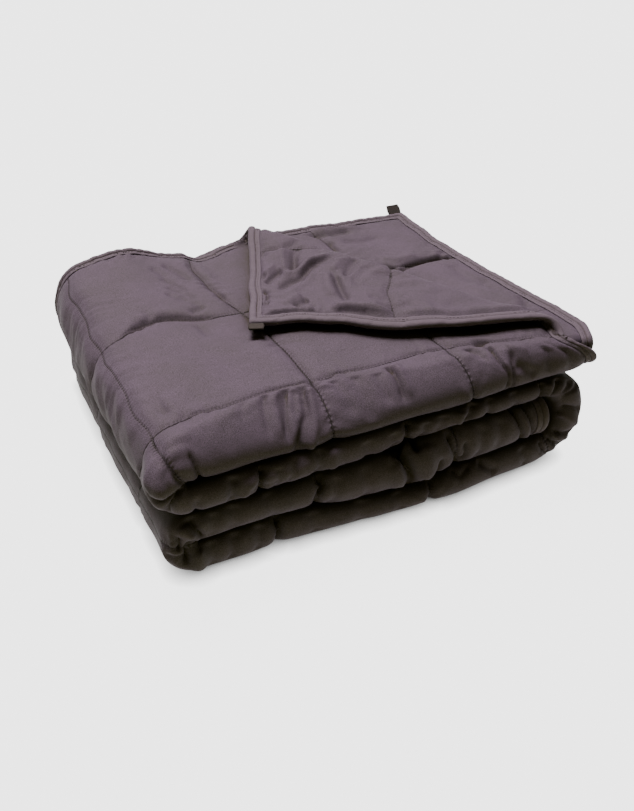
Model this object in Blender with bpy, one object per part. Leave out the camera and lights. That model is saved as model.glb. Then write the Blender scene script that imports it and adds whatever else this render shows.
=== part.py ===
"""A quilted weighted blanket, folded into a four-by-four stack with one corner turned back.

The pieces are first made flat: the quilted blanket, the binding round its edge and the
corner tabs.  Flat coordinates are (q, r, s): q runs along the cloth, r runs across it and
s rises through its thickness.  Every point then goes through one fold:

  1. across: the cloth is folded in quarters, four layers with a round outer fold in front;
  2. lengthways: that strip is folded into four sections stacked A, B, C, D from the top,
     A to B on the left, B to D round the end of C on the right, and D to C on the left;
  3. the free corner of the top layer is turned back as a flap;
  4. the stack settles, so that sections bulge and sag unevenly.

Lengths are in metres.  +X runs along the front edge, +Y to the back and +Z up.
"""

import math

import bmesh
import bpy
import numpy as np
from mathutils import Vector

MM = 0.001

# ---- driving dimensions ---------------------------------------------------------------
CELL_THICKNESS = 7.8 * MM        # quilted square, at its crown
SEAM_THICKNESS = 2.6 * MM        # cloth where it is sewn through, and under the binding
SEAM_SHOULDER = 22 * MM          # distance from a seam to the full crown
LAYER_PITCH = 8.9 * MM           # from one layer to the next
SECTION_PITCH = 36 * MM          # from one folded section to the next

BINDING_WIDTH = 12 * MM          # how far the binding reaches in over the cloth
BINDING_OVERHANG = 2.6 * MM      # its rolled edge beyond the cloth
BINDING_GAP = 0.55 * MM          # clearance between binding and cloth
BINDING_HALF_INNER = SEAM_THICKNESS / 2 + BINDING_GAP
BINDING_HALF_STRIP = 2.6 * MM
BINDING_HALF_BEAD = 2.9 * MM

TAB_WIDTH = 17 * MM
TAB_LENGTH = 11 * MM
TAB_HALF_THICKNESS = 1.2 * MM
TAB_GAP = 0.3 * MM
BACK_TAB_LIFT = 8 * MM           # how far the back tab's free end stands up

# the folded section, seen from the right-hand end: layers L1, L4, L3, L2 in cloth order
FRONT_FOLD_Y = 17.25 * MM        # centre of the outer front fold
INNER_FOLD_Y = 20 * MM           # centre of the front fold between L3 and L2
BACK_FOLD_Y = 380 * MM           # centre of the back fold between L4 and L3
TOP_EDGE_Y = 372 * MM            # bound edge of L1
UNDER_EDGE_Y = 376 * MM          # bound edge of L2

# the lengthways fold, seen from the front
A_END_X = 288 * MM               # right-hand end of A
LEFT_FOLD_AB_X = -135 * MM       # centre of the fold from A to B
RIGHT_WRAP_X = 231 * MM          # centre of the wrap from B to D
LEFT_FOLD_DC_X = -126 * MM       # centre of the fold from D to C
C_END_X = 234 * MM               # tucked-in right-hand end of C

HALF_STRIP = 1.5 * LAYER_PITCH + CELL_THICKNESS / 2
Z_D = HALF_STRIP
Z_C = Z_D + SECTION_PITCH
Z_B = Z_C + SECTION_PITCH
Z_A = Z_B + SECTION_PITCH
Z_TOP = Z_A + HALF_STRIP
LEFT_FOLD_RADIUS = SECTION_PITCH / 2
RIGHT_WRAP_RADIUS = SECTION_PITCH

# where each seam across the cloth lies: (stretch of the path, x, or degrees round a fold)
CROSS_SEAMS = (
    ("A", 146 * MM),
    ("A", 0 * MM),
    ("AB", 35),
    ("B", -72 * MM),
    ("B", 75 * MM),
    ("B", 226 * MM),
    ("BD", 160),
    ("D", 101 * MM),
    ("D", -54 * MM),
    ("DC", 95),
    ("C", -17 * MM),
    ("C", 127 * MM),
)
FIRST_LONG_SEAM_Y = 200 * MM     # on L1, behind the middle of the top
SECOND_LONG_SEAM_Y = 51 * MM     # on L1, along its front crest
LAST_LONG_SEAM_Y = 235 * MM      # on L2
LONG_SEAM_COUNT = 9
HIDDEN_SQUARES = (5, 6, 7)       # across the cloth, those that lie inside the section

# the turned-back corner of L1, as (x, y) on the flat layer and where it comes to lie
FLAP_BACK_FLAT = (57 * MM, 372 * MM)
FLAP_FRONT_FLAT = (286 * MM, 46 * MM)
FLAP_CORNER_FLAT = (288 * MM, 372 * MM)
FLAP_BACK = (55 * MM, 352 * MM)
FLAP_FRONT = (250 * MM, 16 * MM)
FLAP_CORNER = (-15 * MM, 151 * MM)
FLAP_ROLL_BACK = 10.5 * MM       # radius of the turn, at the back edge
FLAP_ROLL_FRONT = 6.5 * MM       # and at the front
FLAP_REST_GAP = 5.5 * MM         # between the flap and the layer that it lies on
FLAP_SAG_LENGTH = 90 * MM        # distance from the turn at which the flap has settled
FLAP_ROLL_LINES = 6
# along the flap's long edge: how far the edge bows out, and how far it is gathered up
FLAP_EDGE_R = (0 * MM, 45 * MM, 100 * MM, 160 * MM, 220 * MM, 280 * MM, 330 * MM)
FLAP_EDGE_BOW = (0 * MM, -4 * MM, 1 * MM, 10 * MM, 6 * MM, 0 * MM, 0 * MM)
FLAP_EDGE_GATHER = (0 * MM, 6 * MM, 16 * MM, 27 * MM, 19 * MM, 7 * MM, 0 * MM)
FLAP_BOW_DEPTH = 150 * MM        # how far in from the long edge its bow is felt
FLAP_GATHER_START = 25 * MM      # past the turn, where the bow and the gather are full
SLIP_REACH = 90 * MM             # how far from the turn the layer is pulled along
SLIP_FADE_R = (315 * MM, 392 * MM)   # r over which that fades, round the front fold

# settled heights of the section tops along x
SETTLED_X = (-160 * MM, -50 * MM, 30 * MM, 85 * MM, 130 * MM, 250 * MM)
SETTLED_D_TOP = (35 * MM, 35 * MM, 28 * MM, 25 * MM, 32 * MM, 34 * MM)
SETTLED_C_TOP = (69 * MM, 70 * MM, 72 * MM, 76 * MM, 78 * MM, 78 * MM)
SETTLED_B_TOP = (101 * MM, 100 * MM, 99 * MM, 99 * MM, 99 * MM, 100 * MM)

# settled height of the very top: one row for each y, one column for each x
TOP_X = (-150 * MM, -90 * MM, -20 * MM, 5 * MM, 50 * MM, 90 * MM, 150 * MM, 220 * MM, 290 * MM)
TOP_ROWS = (
    # y,        heights
    (0 * MM, (139, 140, 140, 139, 139, 139, 139, 139, 141)),
    (55 * MM, (141, 142, 142, 141, 141, 141, 141, 141, 142)),
    (130 * MM, (144, 147, 146, 145, 146, 147, 146, 142, 141)),
    (200 * MM, (144, 147, 145, 144, 145, 147, 147, 141, 138)),
    (290 * MM, (147, 153, 147, 141, 146, 149, 147, 141, 137)),
    (372 * MM, (150, 159, 144, 135, 146, 153, 150, 144, 139)),
)

# how far the front of each section sits back from, or bulges past, the front plane
FRONT_X = (-150 * MM, -50 * MM, 50 * MM, 120 * MM, 200 * MM, 280 * MM)
FRONT_D = (4 * MM, 5 * MM, 0 * MM, -5 * MM, 1 * MM, 3 * MM)
FRONT_C = (2 * MM, 0 * MM, -5 * MM, -4 * MM, -3 * MM, 0 * MM)
FRONT_B = (-2 * MM, -2 * MM, 1 * MM, 2 * MM, 2 * MM, 4 * MM)
FRONT_A = (-4 * MM, -6 * MM, -5 * MM, -4 * MM, -3 * MM, -2 * MM)
FRONT_REACH = 110 * MM

# how far the top of A's front leans back in a broad roll: by x, and its share by height in A
ROLL_X = (-150 * MM, -100 * MM, -50 * MM, 20 * MM, 70 * MM, 130 * MM, 210 * MM, 260 * MM)
ROLL_BACK = (12 * MM, 26 * MM, 38 * MM, 36 * MM, 28 * MM, 20 * MM, 10 * MM, 3 * MM)
ROLL_HEIGHT = (-17 * MM, -9 * MM, 0 * MM, 9 * MM, 15 * MM, 17 * MM)
ROLL_SHARE = (0, 0.18, 0.45, 0.76, 0.97, 1)
ROLL_REACH = 80 * MM

# how far the left-hand folds and the right-hand end of A stray, along y
SIDE_Y = (0 * MM, 50 * MM, 150 * MM, 200 * MM, 300 * MM, 390 * MM)
LEFT_STRAY = (-5 * MM, -2 * MM, 1 * MM, 4 * MM, 11 * MM, 21 * MM)
LEFT_REACH = 230 * MM
RIGHT_STRAY = (-1 * MM, 13 * MM, 6 * MM, 2 * MM, -1 * MM, 2 * MM)
RIGHT_REACH = 110 * MM

# mesh lines
LEFT_FOLD_STEPS = 6
RIGHT_WRAP_STEPS = 6
OUTER_FOLD_STEPS = 6
INNER_FOLD_STEPS = 3
LEAST_LINE_SPACING = 3.5 * MM
TOP_EXTRA_X = (95 * MM, 48 * MM, -50 * MM, -98 * MM)
TOP_EXTRA_Y = (290 * MM, 128 * MM)
TURN_END_LINES = 7               # close lines at the front end of the turn
TURN_END_SPACING = 7 * MM
TURN_END_REACH = 70 * MM

FABRIC_COLOUR = (0.128, 0.110, 0.128, 1.0)
BINDING_COLOUR = (0.104, 0.090, 0.104, 1.0)
TAB_COLOUR = (0.050, 0.044, 0.048, 1.0)


# ---- the section: four layers folded across -------------------------------------------
OUTER_RADIUS = 1.5 * LAYER_PITCH
INNER_RADIUS = 0.5 * LAYER_PITCH
R_L1_END = TOP_EDGE_Y - FRONT_FOLD_Y
R_L4_START = R_L1_END + math.pi * OUTER_RADIUS
R_L4_END = R_L4_START + BACK_FOLD_Y - FRONT_FOLD_Y
R_L3_START = R_L4_END + math.pi * INNER_RADIUS
R_L3_END = R_L3_START + BACK_FOLD_Y - INNER_FOLD_Y
R_L2_START = R_L3_END + math.pi * INNER_RADIUS
CLOTH_R = R_L2_START + UNDER_EDGE_Y - INNER_FOLD_Y


def section_point(r, s):
    """Return (y, n) of the folded section: n is measured up from the strip's middle."""
    turn_1 = np.clip((r - R_L1_END) / OUTER_RADIUS, 0, math.pi)
    turn_2 = np.clip((r - R_L4_END) / INNER_RADIUS, 0, math.pi)
    turn_3 = np.clip((r - R_L3_END) / INNER_RADIUS, 0, math.pi)
    outer = OUTER_RADIUS + s
    back = INNER_RADIUS + s
    inner = INNER_RADIUS - s
    stretches = (
        (r < R_L1_END, TOP_EDGE_Y - r, outer),
        (r < R_L4_START, FRONT_FOLD_Y - outer * np.sin(turn_1), outer * np.cos(turn_1)),
        (r < R_L4_END, FRONT_FOLD_Y + r - R_L4_START, -outer),
        (r < R_L3_START, BACK_FOLD_Y + back * np.sin(turn_2),
         -LAYER_PITCH - back * np.cos(turn_2)),
        (r < R_L3_END, BACK_FOLD_Y - (r - R_L3_START), s - INNER_RADIUS),
        (r < R_L2_START, INNER_FOLD_Y - inner * np.sin(turn_3), -inner * np.cos(turn_3)),
        (r >= R_L2_START, INNER_FOLD_Y + r - R_L2_START, inner),
    )
    tests = [stretch[0] for stretch in stretches]
    y = np.select(tests, [stretch[1] for stretch in stretches])
    n = np.select(tests, [stretch[2] for stretch in stretches])
    return y, n


# ---- the path: the strip folded lengthways --------------------------------------------
Q_STARTS = {"A": 0.0}
Q_STARTS["AB"] = A_END_X - LEFT_FOLD_AB_X
Q_STARTS["B"] = Q_STARTS["AB"] + math.pi * LEFT_FOLD_RADIUS
Q_STARTS["BD"] = Q_STARTS["B"] + RIGHT_WRAP_X - LEFT_FOLD_AB_X
Q_STARTS["D"] = Q_STARTS["BD"] + math.pi * RIGHT_WRAP_RADIUS
Q_STARTS["DC"] = Q_STARTS["D"] + RIGHT_WRAP_X - LEFT_FOLD_DC_X
Q_STARTS["C"] = Q_STARTS["DC"] + math.pi * LEFT_FOLD_RADIUS
CLOTH_Q = Q_STARTS["C"] + C_END_X - LEFT_FOLD_DC_X


def path_point(q, n):
    """Return (x, z) at q along the path, n above the strip's middle line."""
    turn_ab = np.clip((q - Q_STARTS["AB"]) / LEFT_FOLD_RADIUS, 0, math.pi)
    turn_bd = np.clip((q - Q_STARTS["BD"]) / RIGHT_WRAP_RADIUS, 0, math.pi)
    turn_dc = np.clip((q - Q_STARTS["DC"]) / LEFT_FOLD_RADIUS, 0, math.pi)
    outward_ab = LEFT_FOLD_RADIUS + n
    outward_bd = RIGHT_WRAP_RADIUS - n
    outward_dc = LEFT_FOLD_RADIUS - n
    middle_ab = (Z_A + Z_B) / 2
    middle_dc = (Z_D + Z_C) / 2
    stretches = (
        (q < Q_STARTS["AB"], A_END_X - q, Z_A + n),
        (q < Q_STARTS["B"], LEFT_FOLD_AB_X - outward_ab * np.sin(turn_ab),
         middle_ab + outward_ab * np.cos(turn_ab)),
        (q < Q_STARTS["BD"], LEFT_FOLD_AB_X + q - Q_STARTS["B"], Z_B - n),
        (q < Q_STARTS["D"], RIGHT_WRAP_X + outward_bd * np.sin(turn_bd),
         Z_C + outward_bd * np.cos(turn_bd)),
        (q < Q_STARTS["DC"], RIGHT_WRAP_X - (q - Q_STARTS["D"]), Z_D + n),
        (q < Q_STARTS["C"], LEFT_FOLD_DC_X - outward_dc * np.sin(turn_dc),
         middle_dc - outward_dc * np.cos(turn_dc)),
        (q >= Q_STARTS["C"], LEFT_FOLD_DC_X + q - Q_STARTS["C"], Z_C - n),
    )
    tests = [stretch[0] for stretch in stretches]
    x = np.select(tests, [stretch[1] for stretch in stretches])
    z = np.select(tests, [stretch[2] for stretch in stretches])
    return x, z


def path_position(stretch, place):
    """Return q for an x on a straight stretch, or for degrees round a fold."""
    start = Q_STARTS[stretch]
    if stretch == "A":
        return A_END_X - place
    if stretch == "B":
        return start + place - LEFT_FOLD_AB_X
    if stretch == "D":
        return start + RIGHT_WRAP_X - place
    if stretch == "C":
        return start + place - LEFT_FOLD_DC_X
    radius = RIGHT_WRAP_RADIUS if stretch == "BD" else LEFT_FOLD_RADIUS
    return start + math.radians(place) * radius


# ---- quilting -------------------------------------------------------------------------
def long_seam_positions():
    """Return r of the nine seams that run along the cloth."""
    first = TOP_EDGE_Y - FIRST_LONG_SEAM_Y
    second = TOP_EDGE_Y - SECOND_LONG_SEAM_Y
    last = CLOTH_R - (UNDER_EDGE_Y - LAST_LONG_SEAM_Y)
    between = np.linspace(second, last, LONG_SEAM_COUNT - 1)
    return [first, *between]


SEAMS_Q = [path_position(*seam) for seam in CROSS_SEAMS]
SEAMS_R = long_seam_positions()


def rise_from(places, seams, length):
    """Return 0 on a seam or under the binding and 1 at a square's full crown."""
    rise = np.ones_like(places)
    for seam in seams:
        rise = np.minimum(rise, np.abs(places - seam) / SEAM_SHOULDER)
    from_edge = np.minimum(places, length - places) - BINDING_WIDTH
    rise = np.clip(np.minimum(rise, from_edge / SEAM_SHOULDER), 0, 1)
    return np.sqrt(1 - (1 - rise) ** 2)


def cloth_half_thickness(q, r):
    """Return half the thickness of the quilted cloth."""
    crown = rise_from(q, SEAMS_Q, CLOTH_Q) * rise_from(r, SEAMS_R, CLOTH_R)
    return (SEAM_THICKNESS + (CELL_THICKNESS - SEAM_THICKNESS) * crown) / 2


# ---- the turned-back corner -----------------------------------------------------------
def line_frame(back, front):
    """Return a line's start, its direction, the direction to its right and its length."""
    start = np.array(back)
    along = np.array(front) - start
    length = np.hypot(*along)
    along = along / length
    return start, along, np.array((-along[1], along[0])), length


FLAT_START, FLAT_ALONG, FLAT_AWAY, FLAT_LENGTH = line_frame(FLAP_BACK_FLAT, FLAP_FRONT_FLAT)
TURN_START, TURN_ALONG, TURN_AWAY, TURN_LENGTH = line_frame(FLAP_BACK, FLAP_FRONT)
TURN_SCALE = TURN_LENGTH / FLAT_LENGTH


def line_places(x, y):
    """Return how far flat points lie along the fold line and beyond it."""
    dx = x - FLAT_START[0]
    dy = y - FLAT_START[1]
    along = dx * FLAT_ALONG[0] + dy * FLAT_ALONG[1]
    beyond = dx * FLAT_AWAY[0] + dy * FLAT_AWAY[1]
    return along, beyond


def roll_radius(along):
    """Return the radius of the turn, which opens towards the front."""
    share = np.clip(along / FLAT_LENGTH, 0, 1)
    return FLAP_ROLL_BACK + (FLAP_ROLL_FRONT - FLAP_ROLL_BACK) * share


def flap_skew():
    """Return the drift along the turn and the stretch that bring the corner to its place."""
    along, beyond = line_places(*FLAP_CORNER_FLAT)
    past = beyond - math.pi * roll_radius(along)
    offset = np.array(FLAP_CORNER) - TURN_START
    drift = (offset @ TURN_ALONG - along * TURN_SCALE) / past
    stretch = -(offset @ TURN_AWAY) / past
    return drift, stretch


FLAP_DRIFT, FLAP_STRETCH = flap_skew()


def smooth(t):
    """Return a soft step from 0 to 1."""
    t = np.clip(t, 0, 1)
    return t * t * (3 - 2 * t)


def slipped(q, r):
    """Return q and r of L1 pulled along by the turn, on the side that stays down."""
    along, beyond = line_places(A_END_X - q, TOP_EDGE_Y - r)
    held = np.clip(along, 0, FLAT_LENGTH)
    pull_x = TURN_START[0] + TURN_ALONG[0] * held * TURN_SCALE - FLAT_START[0] - FLAT_ALONG[0] * held
    pull_y = TURN_START[1] + TURN_ALONG[1] * held * TURN_SCALE - FLAT_START[1] - FLAT_ALONG[1] * held
    share = np.exp(-(np.minimum(beyond, 0) / SLIP_REACH) ** 2)
    fade_start, fade_end = SLIP_FADE_R
    share = share * (1 - smooth((r - fade_start) / (fade_end - fade_start)))
    return q - pull_x * share, r - pull_y * share


def eased(places, xs, values):
    """Return table values at the places, eased from one row to the next."""
    xs = np.asarray(xs)
    values = np.asarray(values)
    row = np.clip(np.searchsorted(xs, places) - 1, 0, len(xs) - 2)
    share = smooth((places - xs[row]) / (xs[row + 1] - xs[row]))
    return values[row] + (values[row + 1] - values[row]) * share


def gathered(q, r):
    """Return q and r of the flap, bowed and gathered along its long edge."""
    along, beyond = line_places(A_END_X - q, TOP_EDGE_Y - r)
    share = smooth((beyond - math.pi * roll_radius(along)) / FLAP_GATHER_START)
    bow = eased(r, FLAP_EDGE_R, FLAP_EDGE_BOW) * (1 - smooth(q / FLAP_BOW_DEPTH))
    gather = eased(r, FLAP_EDGE_R, FLAP_EDGE_GATHER)
    return q - bow * share, r - gather * share


def flap_point(q, r, s):
    """Return (x, y, n) of the part of L1 that is turned over."""
    q, r = gathered(q, r)
    along, beyond = line_places(A_END_X - q, TOP_EDGE_Y - r)
    radius = roll_radius(along)
    turn = np.clip(beyond / radius, 0, math.pi)
    past = np.maximum(beyond - math.pi * radius, 0)
    out = (radius - s) * np.sin(turn) - FLAP_STRETCH * past
    line = along * TURN_SCALE + FLAP_DRIFT * past
    x = TURN_START[0] + TURN_ALONG[0] * line + TURN_AWAY[0] * out
    y = TURN_START[1] + TURN_ALONG[1] * line + TURN_AWAY[1] * out
    drop = 2 * radius - CELL_THICKNESS - FLAP_REST_GAP
    n = OUTER_RADIUS + radius - (radius - s) * np.cos(turn) - drop * smooth(past / FLAP_SAG_LENGTH)
    return x, y, n


# ---- settling -------------------------------------------------------------------------
def top_height(x, y):
    """Return the settled height of the very top."""
    ys = [row[0] for row in TOP_ROWS]
    columns = np.array([eased(x, TOP_X, row[1]) for row in TOP_ROWS]) * MM
    height = columns[0].copy()
    for index in range(len(ys) - 1):
        share = smooth((y - ys[index]) / (ys[index + 1] - ys[index]))
        height += (columns[index + 1] - columns[index]) * share
    return height


def settled(x, y, z):
    """Return points of the even stack, moved to where the settled stack holds them."""
    front_rows = (FRONT_D, FRONT_C, FRONT_B, FRONT_A)
    fronts = np.array([eased(x, FRONT_X, row) for row in front_rows])
    shift_y = fronts[0].copy()
    middles = (Z_D, Z_C, Z_B, Z_A)
    for index in range(3):
        share = smooth((z - middles[index]) / SECTION_PITCH)
        shift_y += (fronts[index + 1] - fronts[index]) * share
    roll = eased(x, ROLL_X, ROLL_BACK) * np.interp(z - Z_A, ROLL_HEIGHT, ROLL_SHARE)
    new_y = y + shift_y * (1 - smooth(y / FRONT_REACH)) + roll * (1 - smooth(y / ROLL_REACH))

    left_share = 1 - smooth((x - LEFT_FOLD_AB_X) / LEFT_REACH)
    right_share = smooth((x - A_END_X + RIGHT_REACH) / RIGHT_REACH) * smooth((z - Z_B) / SECTION_PITCH)
    new_x = x + eased(y, SIDE_Y, LEFT_STRAY) * left_share + eased(y, SIDE_Y, RIGHT_STRAY) * right_share

    levels = (0.0, (Z_D + Z_C) / 2, (Z_C + Z_B) / 2, (Z_B + Z_A) / 2, Z_TOP)
    heights = (
        np.zeros_like(x),
        eased(x, SETTLED_X, SETTLED_D_TOP),
        eased(x, SETTLED_X, SETTLED_C_TOP),
        eased(x, SETTLED_X, SETTLED_B_TOP),
        top_height(x, y),
    )
    new_z = heights[-1] + z - Z_TOP
    for index in reversed(range(4)):
        share = (z - levels[index]) / (levels[index + 1] - levels[index])
        within = heights[index] + (heights[index + 1] - heights[index]) * share
        new_z = np.where(z < levels[index + 1], within, new_z)
    return np.stack((new_x, new_y, new_z), axis=1)


def folded(points):
    """Return flat (q, r, s) points where the folded and settled blanket holds them."""
    q, r, s = points.T
    _, beyond = line_places(A_END_X - q, TOP_EDGE_Y - r)
    near_turn = (q < Q_STARTS["AB"]) & (r < R_L4_START)
    turned = near_turn & (beyond > 0) & (r < R_L1_END)
    slip_q, slip_r = slipped(q, r)
    path_q = np.where(near_turn, slip_q, q)
    path_r = np.where(near_turn, slip_r, r)
    y, n = section_point(path_r, s)
    x, z = path_point(path_q, n)
    flap_x, flap_y, flap_n = flap_point(q, r, s)
    x = np.where(turned, flap_x, x)
    y = np.where(turned, flap_y, y)
    z = np.where(turned, Z_A + flap_n, z)
    return settled(x, y, z)


# ---- mesh lines -----------------------------------------------------------------------
def thinned(lines, kept):
    """Return sorted lines, without those that crowd a kept line or each other."""
    result = sorted(kept)
    for line in sorted(lines):
        if min(abs(line - other) for other in result) > LEAST_LINE_SPACING:
            result.append(line)
    return sorted(result)


def crown_lines(seams, length, hidden=()):
    """Return the ends, binding edges and seams, and the squares' shoulders or, if hidden, middles."""
    ends = [BINDING_WIDTH, *seams, length - BINDING_WIDTH]
    crowns = []
    for index, (start, end) in enumerate(zip(ends, ends[1:])):
        crowns += [(start + end) / 2] if index in hidden else [start + SEAM_SHOULDER, end - SEAM_SHOULDER]
    return [0.0, *ends, length], crowns


def fold_lines(start, angle_steps, radius):
    """Return lines spread round a half turn."""
    return [start + math.pi * radius * step / angle_steps for step in range(angle_steps + 1)]


def cross_lines():
    """Return q of the mesh lines that run across the cloth."""
    kept, shoulders = crown_lines(SEAMS_Q, CLOTH_Q)
    folds = fold_lines(Q_STARTS["AB"], LEFT_FOLD_STEPS, LEFT_FOLD_RADIUS)
    folds += fold_lines(Q_STARTS["BD"], RIGHT_WRAP_STEPS, RIGHT_WRAP_RADIUS)
    folds += fold_lines(Q_STARTS["DC"], LEFT_FOLD_STEPS, LEFT_FOLD_RADIUS)
    folds += [A_END_X - x for x in TOP_EXTRA_X]
    return thinned(shoulders, thinned(folds, kept))


def long_lines():
    """Return r of the mesh lines that run along the cloth."""
    kept, shoulders = crown_lines(SEAMS_R, CLOTH_R, HIDDEN_SQUARES)
    folds = fold_lines(R_L1_END, OUTER_FOLD_STEPS, OUTER_RADIUS)
    folds += fold_lines(R_L4_END, INNER_FOLD_STEPS, INNER_RADIUS)
    folds += fold_lines(R_L3_END, INNER_FOLD_STEPS, INNER_RADIUS)
    folds += [TOP_EDGE_Y - y for y in TOP_EXTRA_Y]
    return thinned(shoulders, thinned(folds, kept))


def bisect_all(mesh, place, normal, faces=None):
    """Cut a mesh along a plane, in the given faces or everywhere."""
    faces = mesh.faces[:] if faces is None else faces
    edges = {edge for face in faces for edge in face.edges}
    verts = {vert for face in faces for vert in face.verts}
    geometry = [*faces, *edges, *verts]
    bmesh.ops.bisect_plane(mesh, geom=geometry, dist=1e-6, plane_co=place, plane_no=normal)


def cut_turn_lines(mesh):
    """Add the lines that let the corner of L1 turn over and its front end slip."""
    for step in range(TURN_END_LINES):
        place = Vector((0, R_L1_END - step * TURN_END_SPACING, 0))
        faces = [face for face in mesh.faces
                 if all(vert.co.x < TURN_END_REACH and vert.co.y < R_L4_START + 1e-5
                        for vert in face.verts)]
        bisect_all(mesh, place, Vector((0, 1, 0)), faces)
    radius = (FLAP_ROLL_BACK + FLAP_ROLL_FRONT) / 2
    limit_q = Q_STARTS["AB"]
    for step in range(FLAP_ROLL_LINES + 1):
        beyond = math.pi * radius * step / FLAP_ROLL_LINES
        spot = FLAT_START + FLAT_AWAY * beyond
        place = Vector((A_END_X - spot[0], TOP_EDGE_Y - spot[1], 0))
        normal = Vector((-FLAT_AWAY[0], -FLAT_AWAY[1], 0))
        faces = [face for face in mesh.faces
                 if all(vert.co.x < limit_q and vert.co.y < R_L1_END + 1e-5 for vert in face.verts)]
        bisect_all(mesh, place, normal, faces)


# ---- pieces ---------------------------------------------------------------------------
def material(name, colour):
    """Return a plain woven-cloth material."""
    result = bpy.data.materials.new(name)
    result.use_nodes = True
    shader = result.node_tree.nodes["Principled BSDF"]
    shader.inputs["Base Color"].default_value = colour
    shader.inputs["Roughness"].default_value = 0.85
    shader.inputs["Metallic"].default_value = 0.0
    return result


def add_object(name, mesh, colour):
    """Fold a flat mesh and add it to the scene as one closed object."""
    bmesh.ops.triangulate(mesh, faces=mesh.faces[:])
    bmesh.ops.recalc_face_normals(mesh, faces=mesh.faces[:])
    flat = np.array([vert.co[:] for vert in mesh.verts])
    for vert, place in zip(mesh.verts, folded(flat)):
        vert.co = place
    data = bpy.data.meshes.new(name)
    mesh.to_mesh(data)
    mesh.free()
    data.materials.append(material(name, colour))
    data.shade_smooth()
    obj = bpy.data.objects.new(name, data)
    bpy.context.scene.collection.objects.link(obj)
    return obj


def make_blanket():
    """Make the quilted cloth: a sheet cut at its mesh lines and given its thickness."""
    mesh = bmesh.new()
    corners = ((0, 0), (CLOTH_Q, 0), (CLOTH_Q, CLOTH_R), (0, CLOTH_R))
    mesh.faces.new([mesh.verts.new((q, r, 0)) for q, r in corners])
    for q in cross_lines()[1:-1]:
        bisect_all(mesh, Vector((q, 0, 0)), Vector((1, 0, 0)))
    for r in long_lines()[1:-1]:
        bisect_all(mesh, Vector((0, r, 0)), Vector((0, 1, 0)))
    cut_turn_lines(mesh)
    bmesh.ops.triangulate(mesh, faces=mesh.faces[:])
    lower = bmesh.ops.extrude_face_region(mesh, geom=mesh.faces[:])["geom"]
    lower_verts = {item for item in lower if isinstance(item, bmesh.types.BMVert)}
    for vert in mesh.verts:
        q, r = np.array([vert.co.x]), np.array([vert.co.y])
        half = float(cloth_half_thickness(q, r)[0])
        vert.co.z = -half if vert in lower_verts else half
    return add_object("blanket", mesh, FABRIC_COLOUR)


def binding_profile():
    """Return the binding's outline as (distance in from the cloth's edge, s)."""
    upper = (
        (BINDING_WIDTH, BINDING_HALF_STRIP),
        (-1 * MM, BINDING_HALF_BEAD),
        (-BINDING_OVERHANG, 0.0),
    )
    lower = [(inward, -s) for inward, s in reversed(upper[:-1])]
    slot = (
        (BINDING_WIDTH, -BINDING_HALF_INNER),
        (-BINDING_GAP, -BINDING_HALF_INNER),
        (-BINDING_GAP, BINDING_HALF_INNER),
        (BINDING_WIDTH, BINDING_HALF_INNER),
    )
    return [*upper, *lower, *slot]


def binding_stations():
    """Return (q, r, inward q, inward r) round the cloth's edge, mitred at its corners."""
    qs = [q for q in cross_lines() if 2 * BINDING_WIDTH < q < CLOTH_Q - 2 * BINDING_WIDTH]
    rs = [r for r in long_lines() if 2 * BINDING_WIDTH < r < CLOTH_R - 2 * BINDING_WIDTH]
    stations = [(0, 0, 1, 1)]
    stations += [(q, 0, 0, 1) for q in qs]
    stations += [(CLOTH_Q, 0, -1, 1)]
    stations += [(CLOTH_Q, r, -1, 0) for r in rs]
    stations += [(CLOTH_Q, CLOTH_R, -1, -1)]
    stations += [(q, CLOTH_R, 0, -1) for q in reversed(qs)]
    stations += [(0, CLOTH_R, 1, -1)]
    stations += [(0, r, 1, 0) for r in reversed(rs)]
    return stations


def make_binding():
    """Make the channel of cloth that is sewn over the blanket's edge, all the way round."""
    mesh = bmesh.new()
    rings = []
    for q, r, inward_q, inward_r in binding_stations():
        ring = [mesh.verts.new((q + inward_q * inward, r + inward_r * inward, s))
                for inward, s in binding_profile()]
        rings.append(ring)
    for ring, following in zip(rings, rings[1:] + rings[:1]):
        for index, vert in enumerate(ring):
            after = (index + 1) % len(ring)
            mesh.faces.new((vert, ring[after], following[after], following[index]))
    cut_turn_lines(mesh)
    return add_object("binding", mesh, BINDING_COLOUR)


def make_tab(name, turn, corner, lift):
    """Make a folded tab that stands out past the cloth's edge beside one of its corners.

    The tab is made standing out towards -r from the edge r = 0.  It is turned in the flat
    by the angle, moved to the corner (q, r) and its free end is raised by the lift.
    """
    mesh = bmesh.new()
    bmesh.ops.create_cube(mesh, size=1)
    for vert in mesh.verts:
        across, out, up = vert.co
        side = TAB_WIDTH * across
        reach = BINDING_OVERHANG + TAB_GAP + TAB_LENGTH * (out + 0.5)
        vert.co.x = corner[0] + side * math.cos(turn) - reach * math.sin(turn)
        vert.co.y = corner[1] - side * math.sin(turn) - reach * math.cos(turn)
        vert.co.z = 2 * TAB_HALF_THICKNESS * up + lift * (out + 0.5)
    return add_object(name, mesh, TAB_COLOUR)


def set_on_floor(objects):
    """Move the meshes so that the middle of their box's bottom face is the origin."""
    points = np.array([vert.co[:] for obj in objects for vert in obj.data.vertices])
    low = points.min(axis=0)
    high = points.max(axis=0)
    shift = Vector((-(low[0] + high[0]) / 2, -(low[1] + high[1]) / 2, -low[2]))
    for obj in objects:
        for vert in obj.data.vertices:
            vert.co += shift


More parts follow.
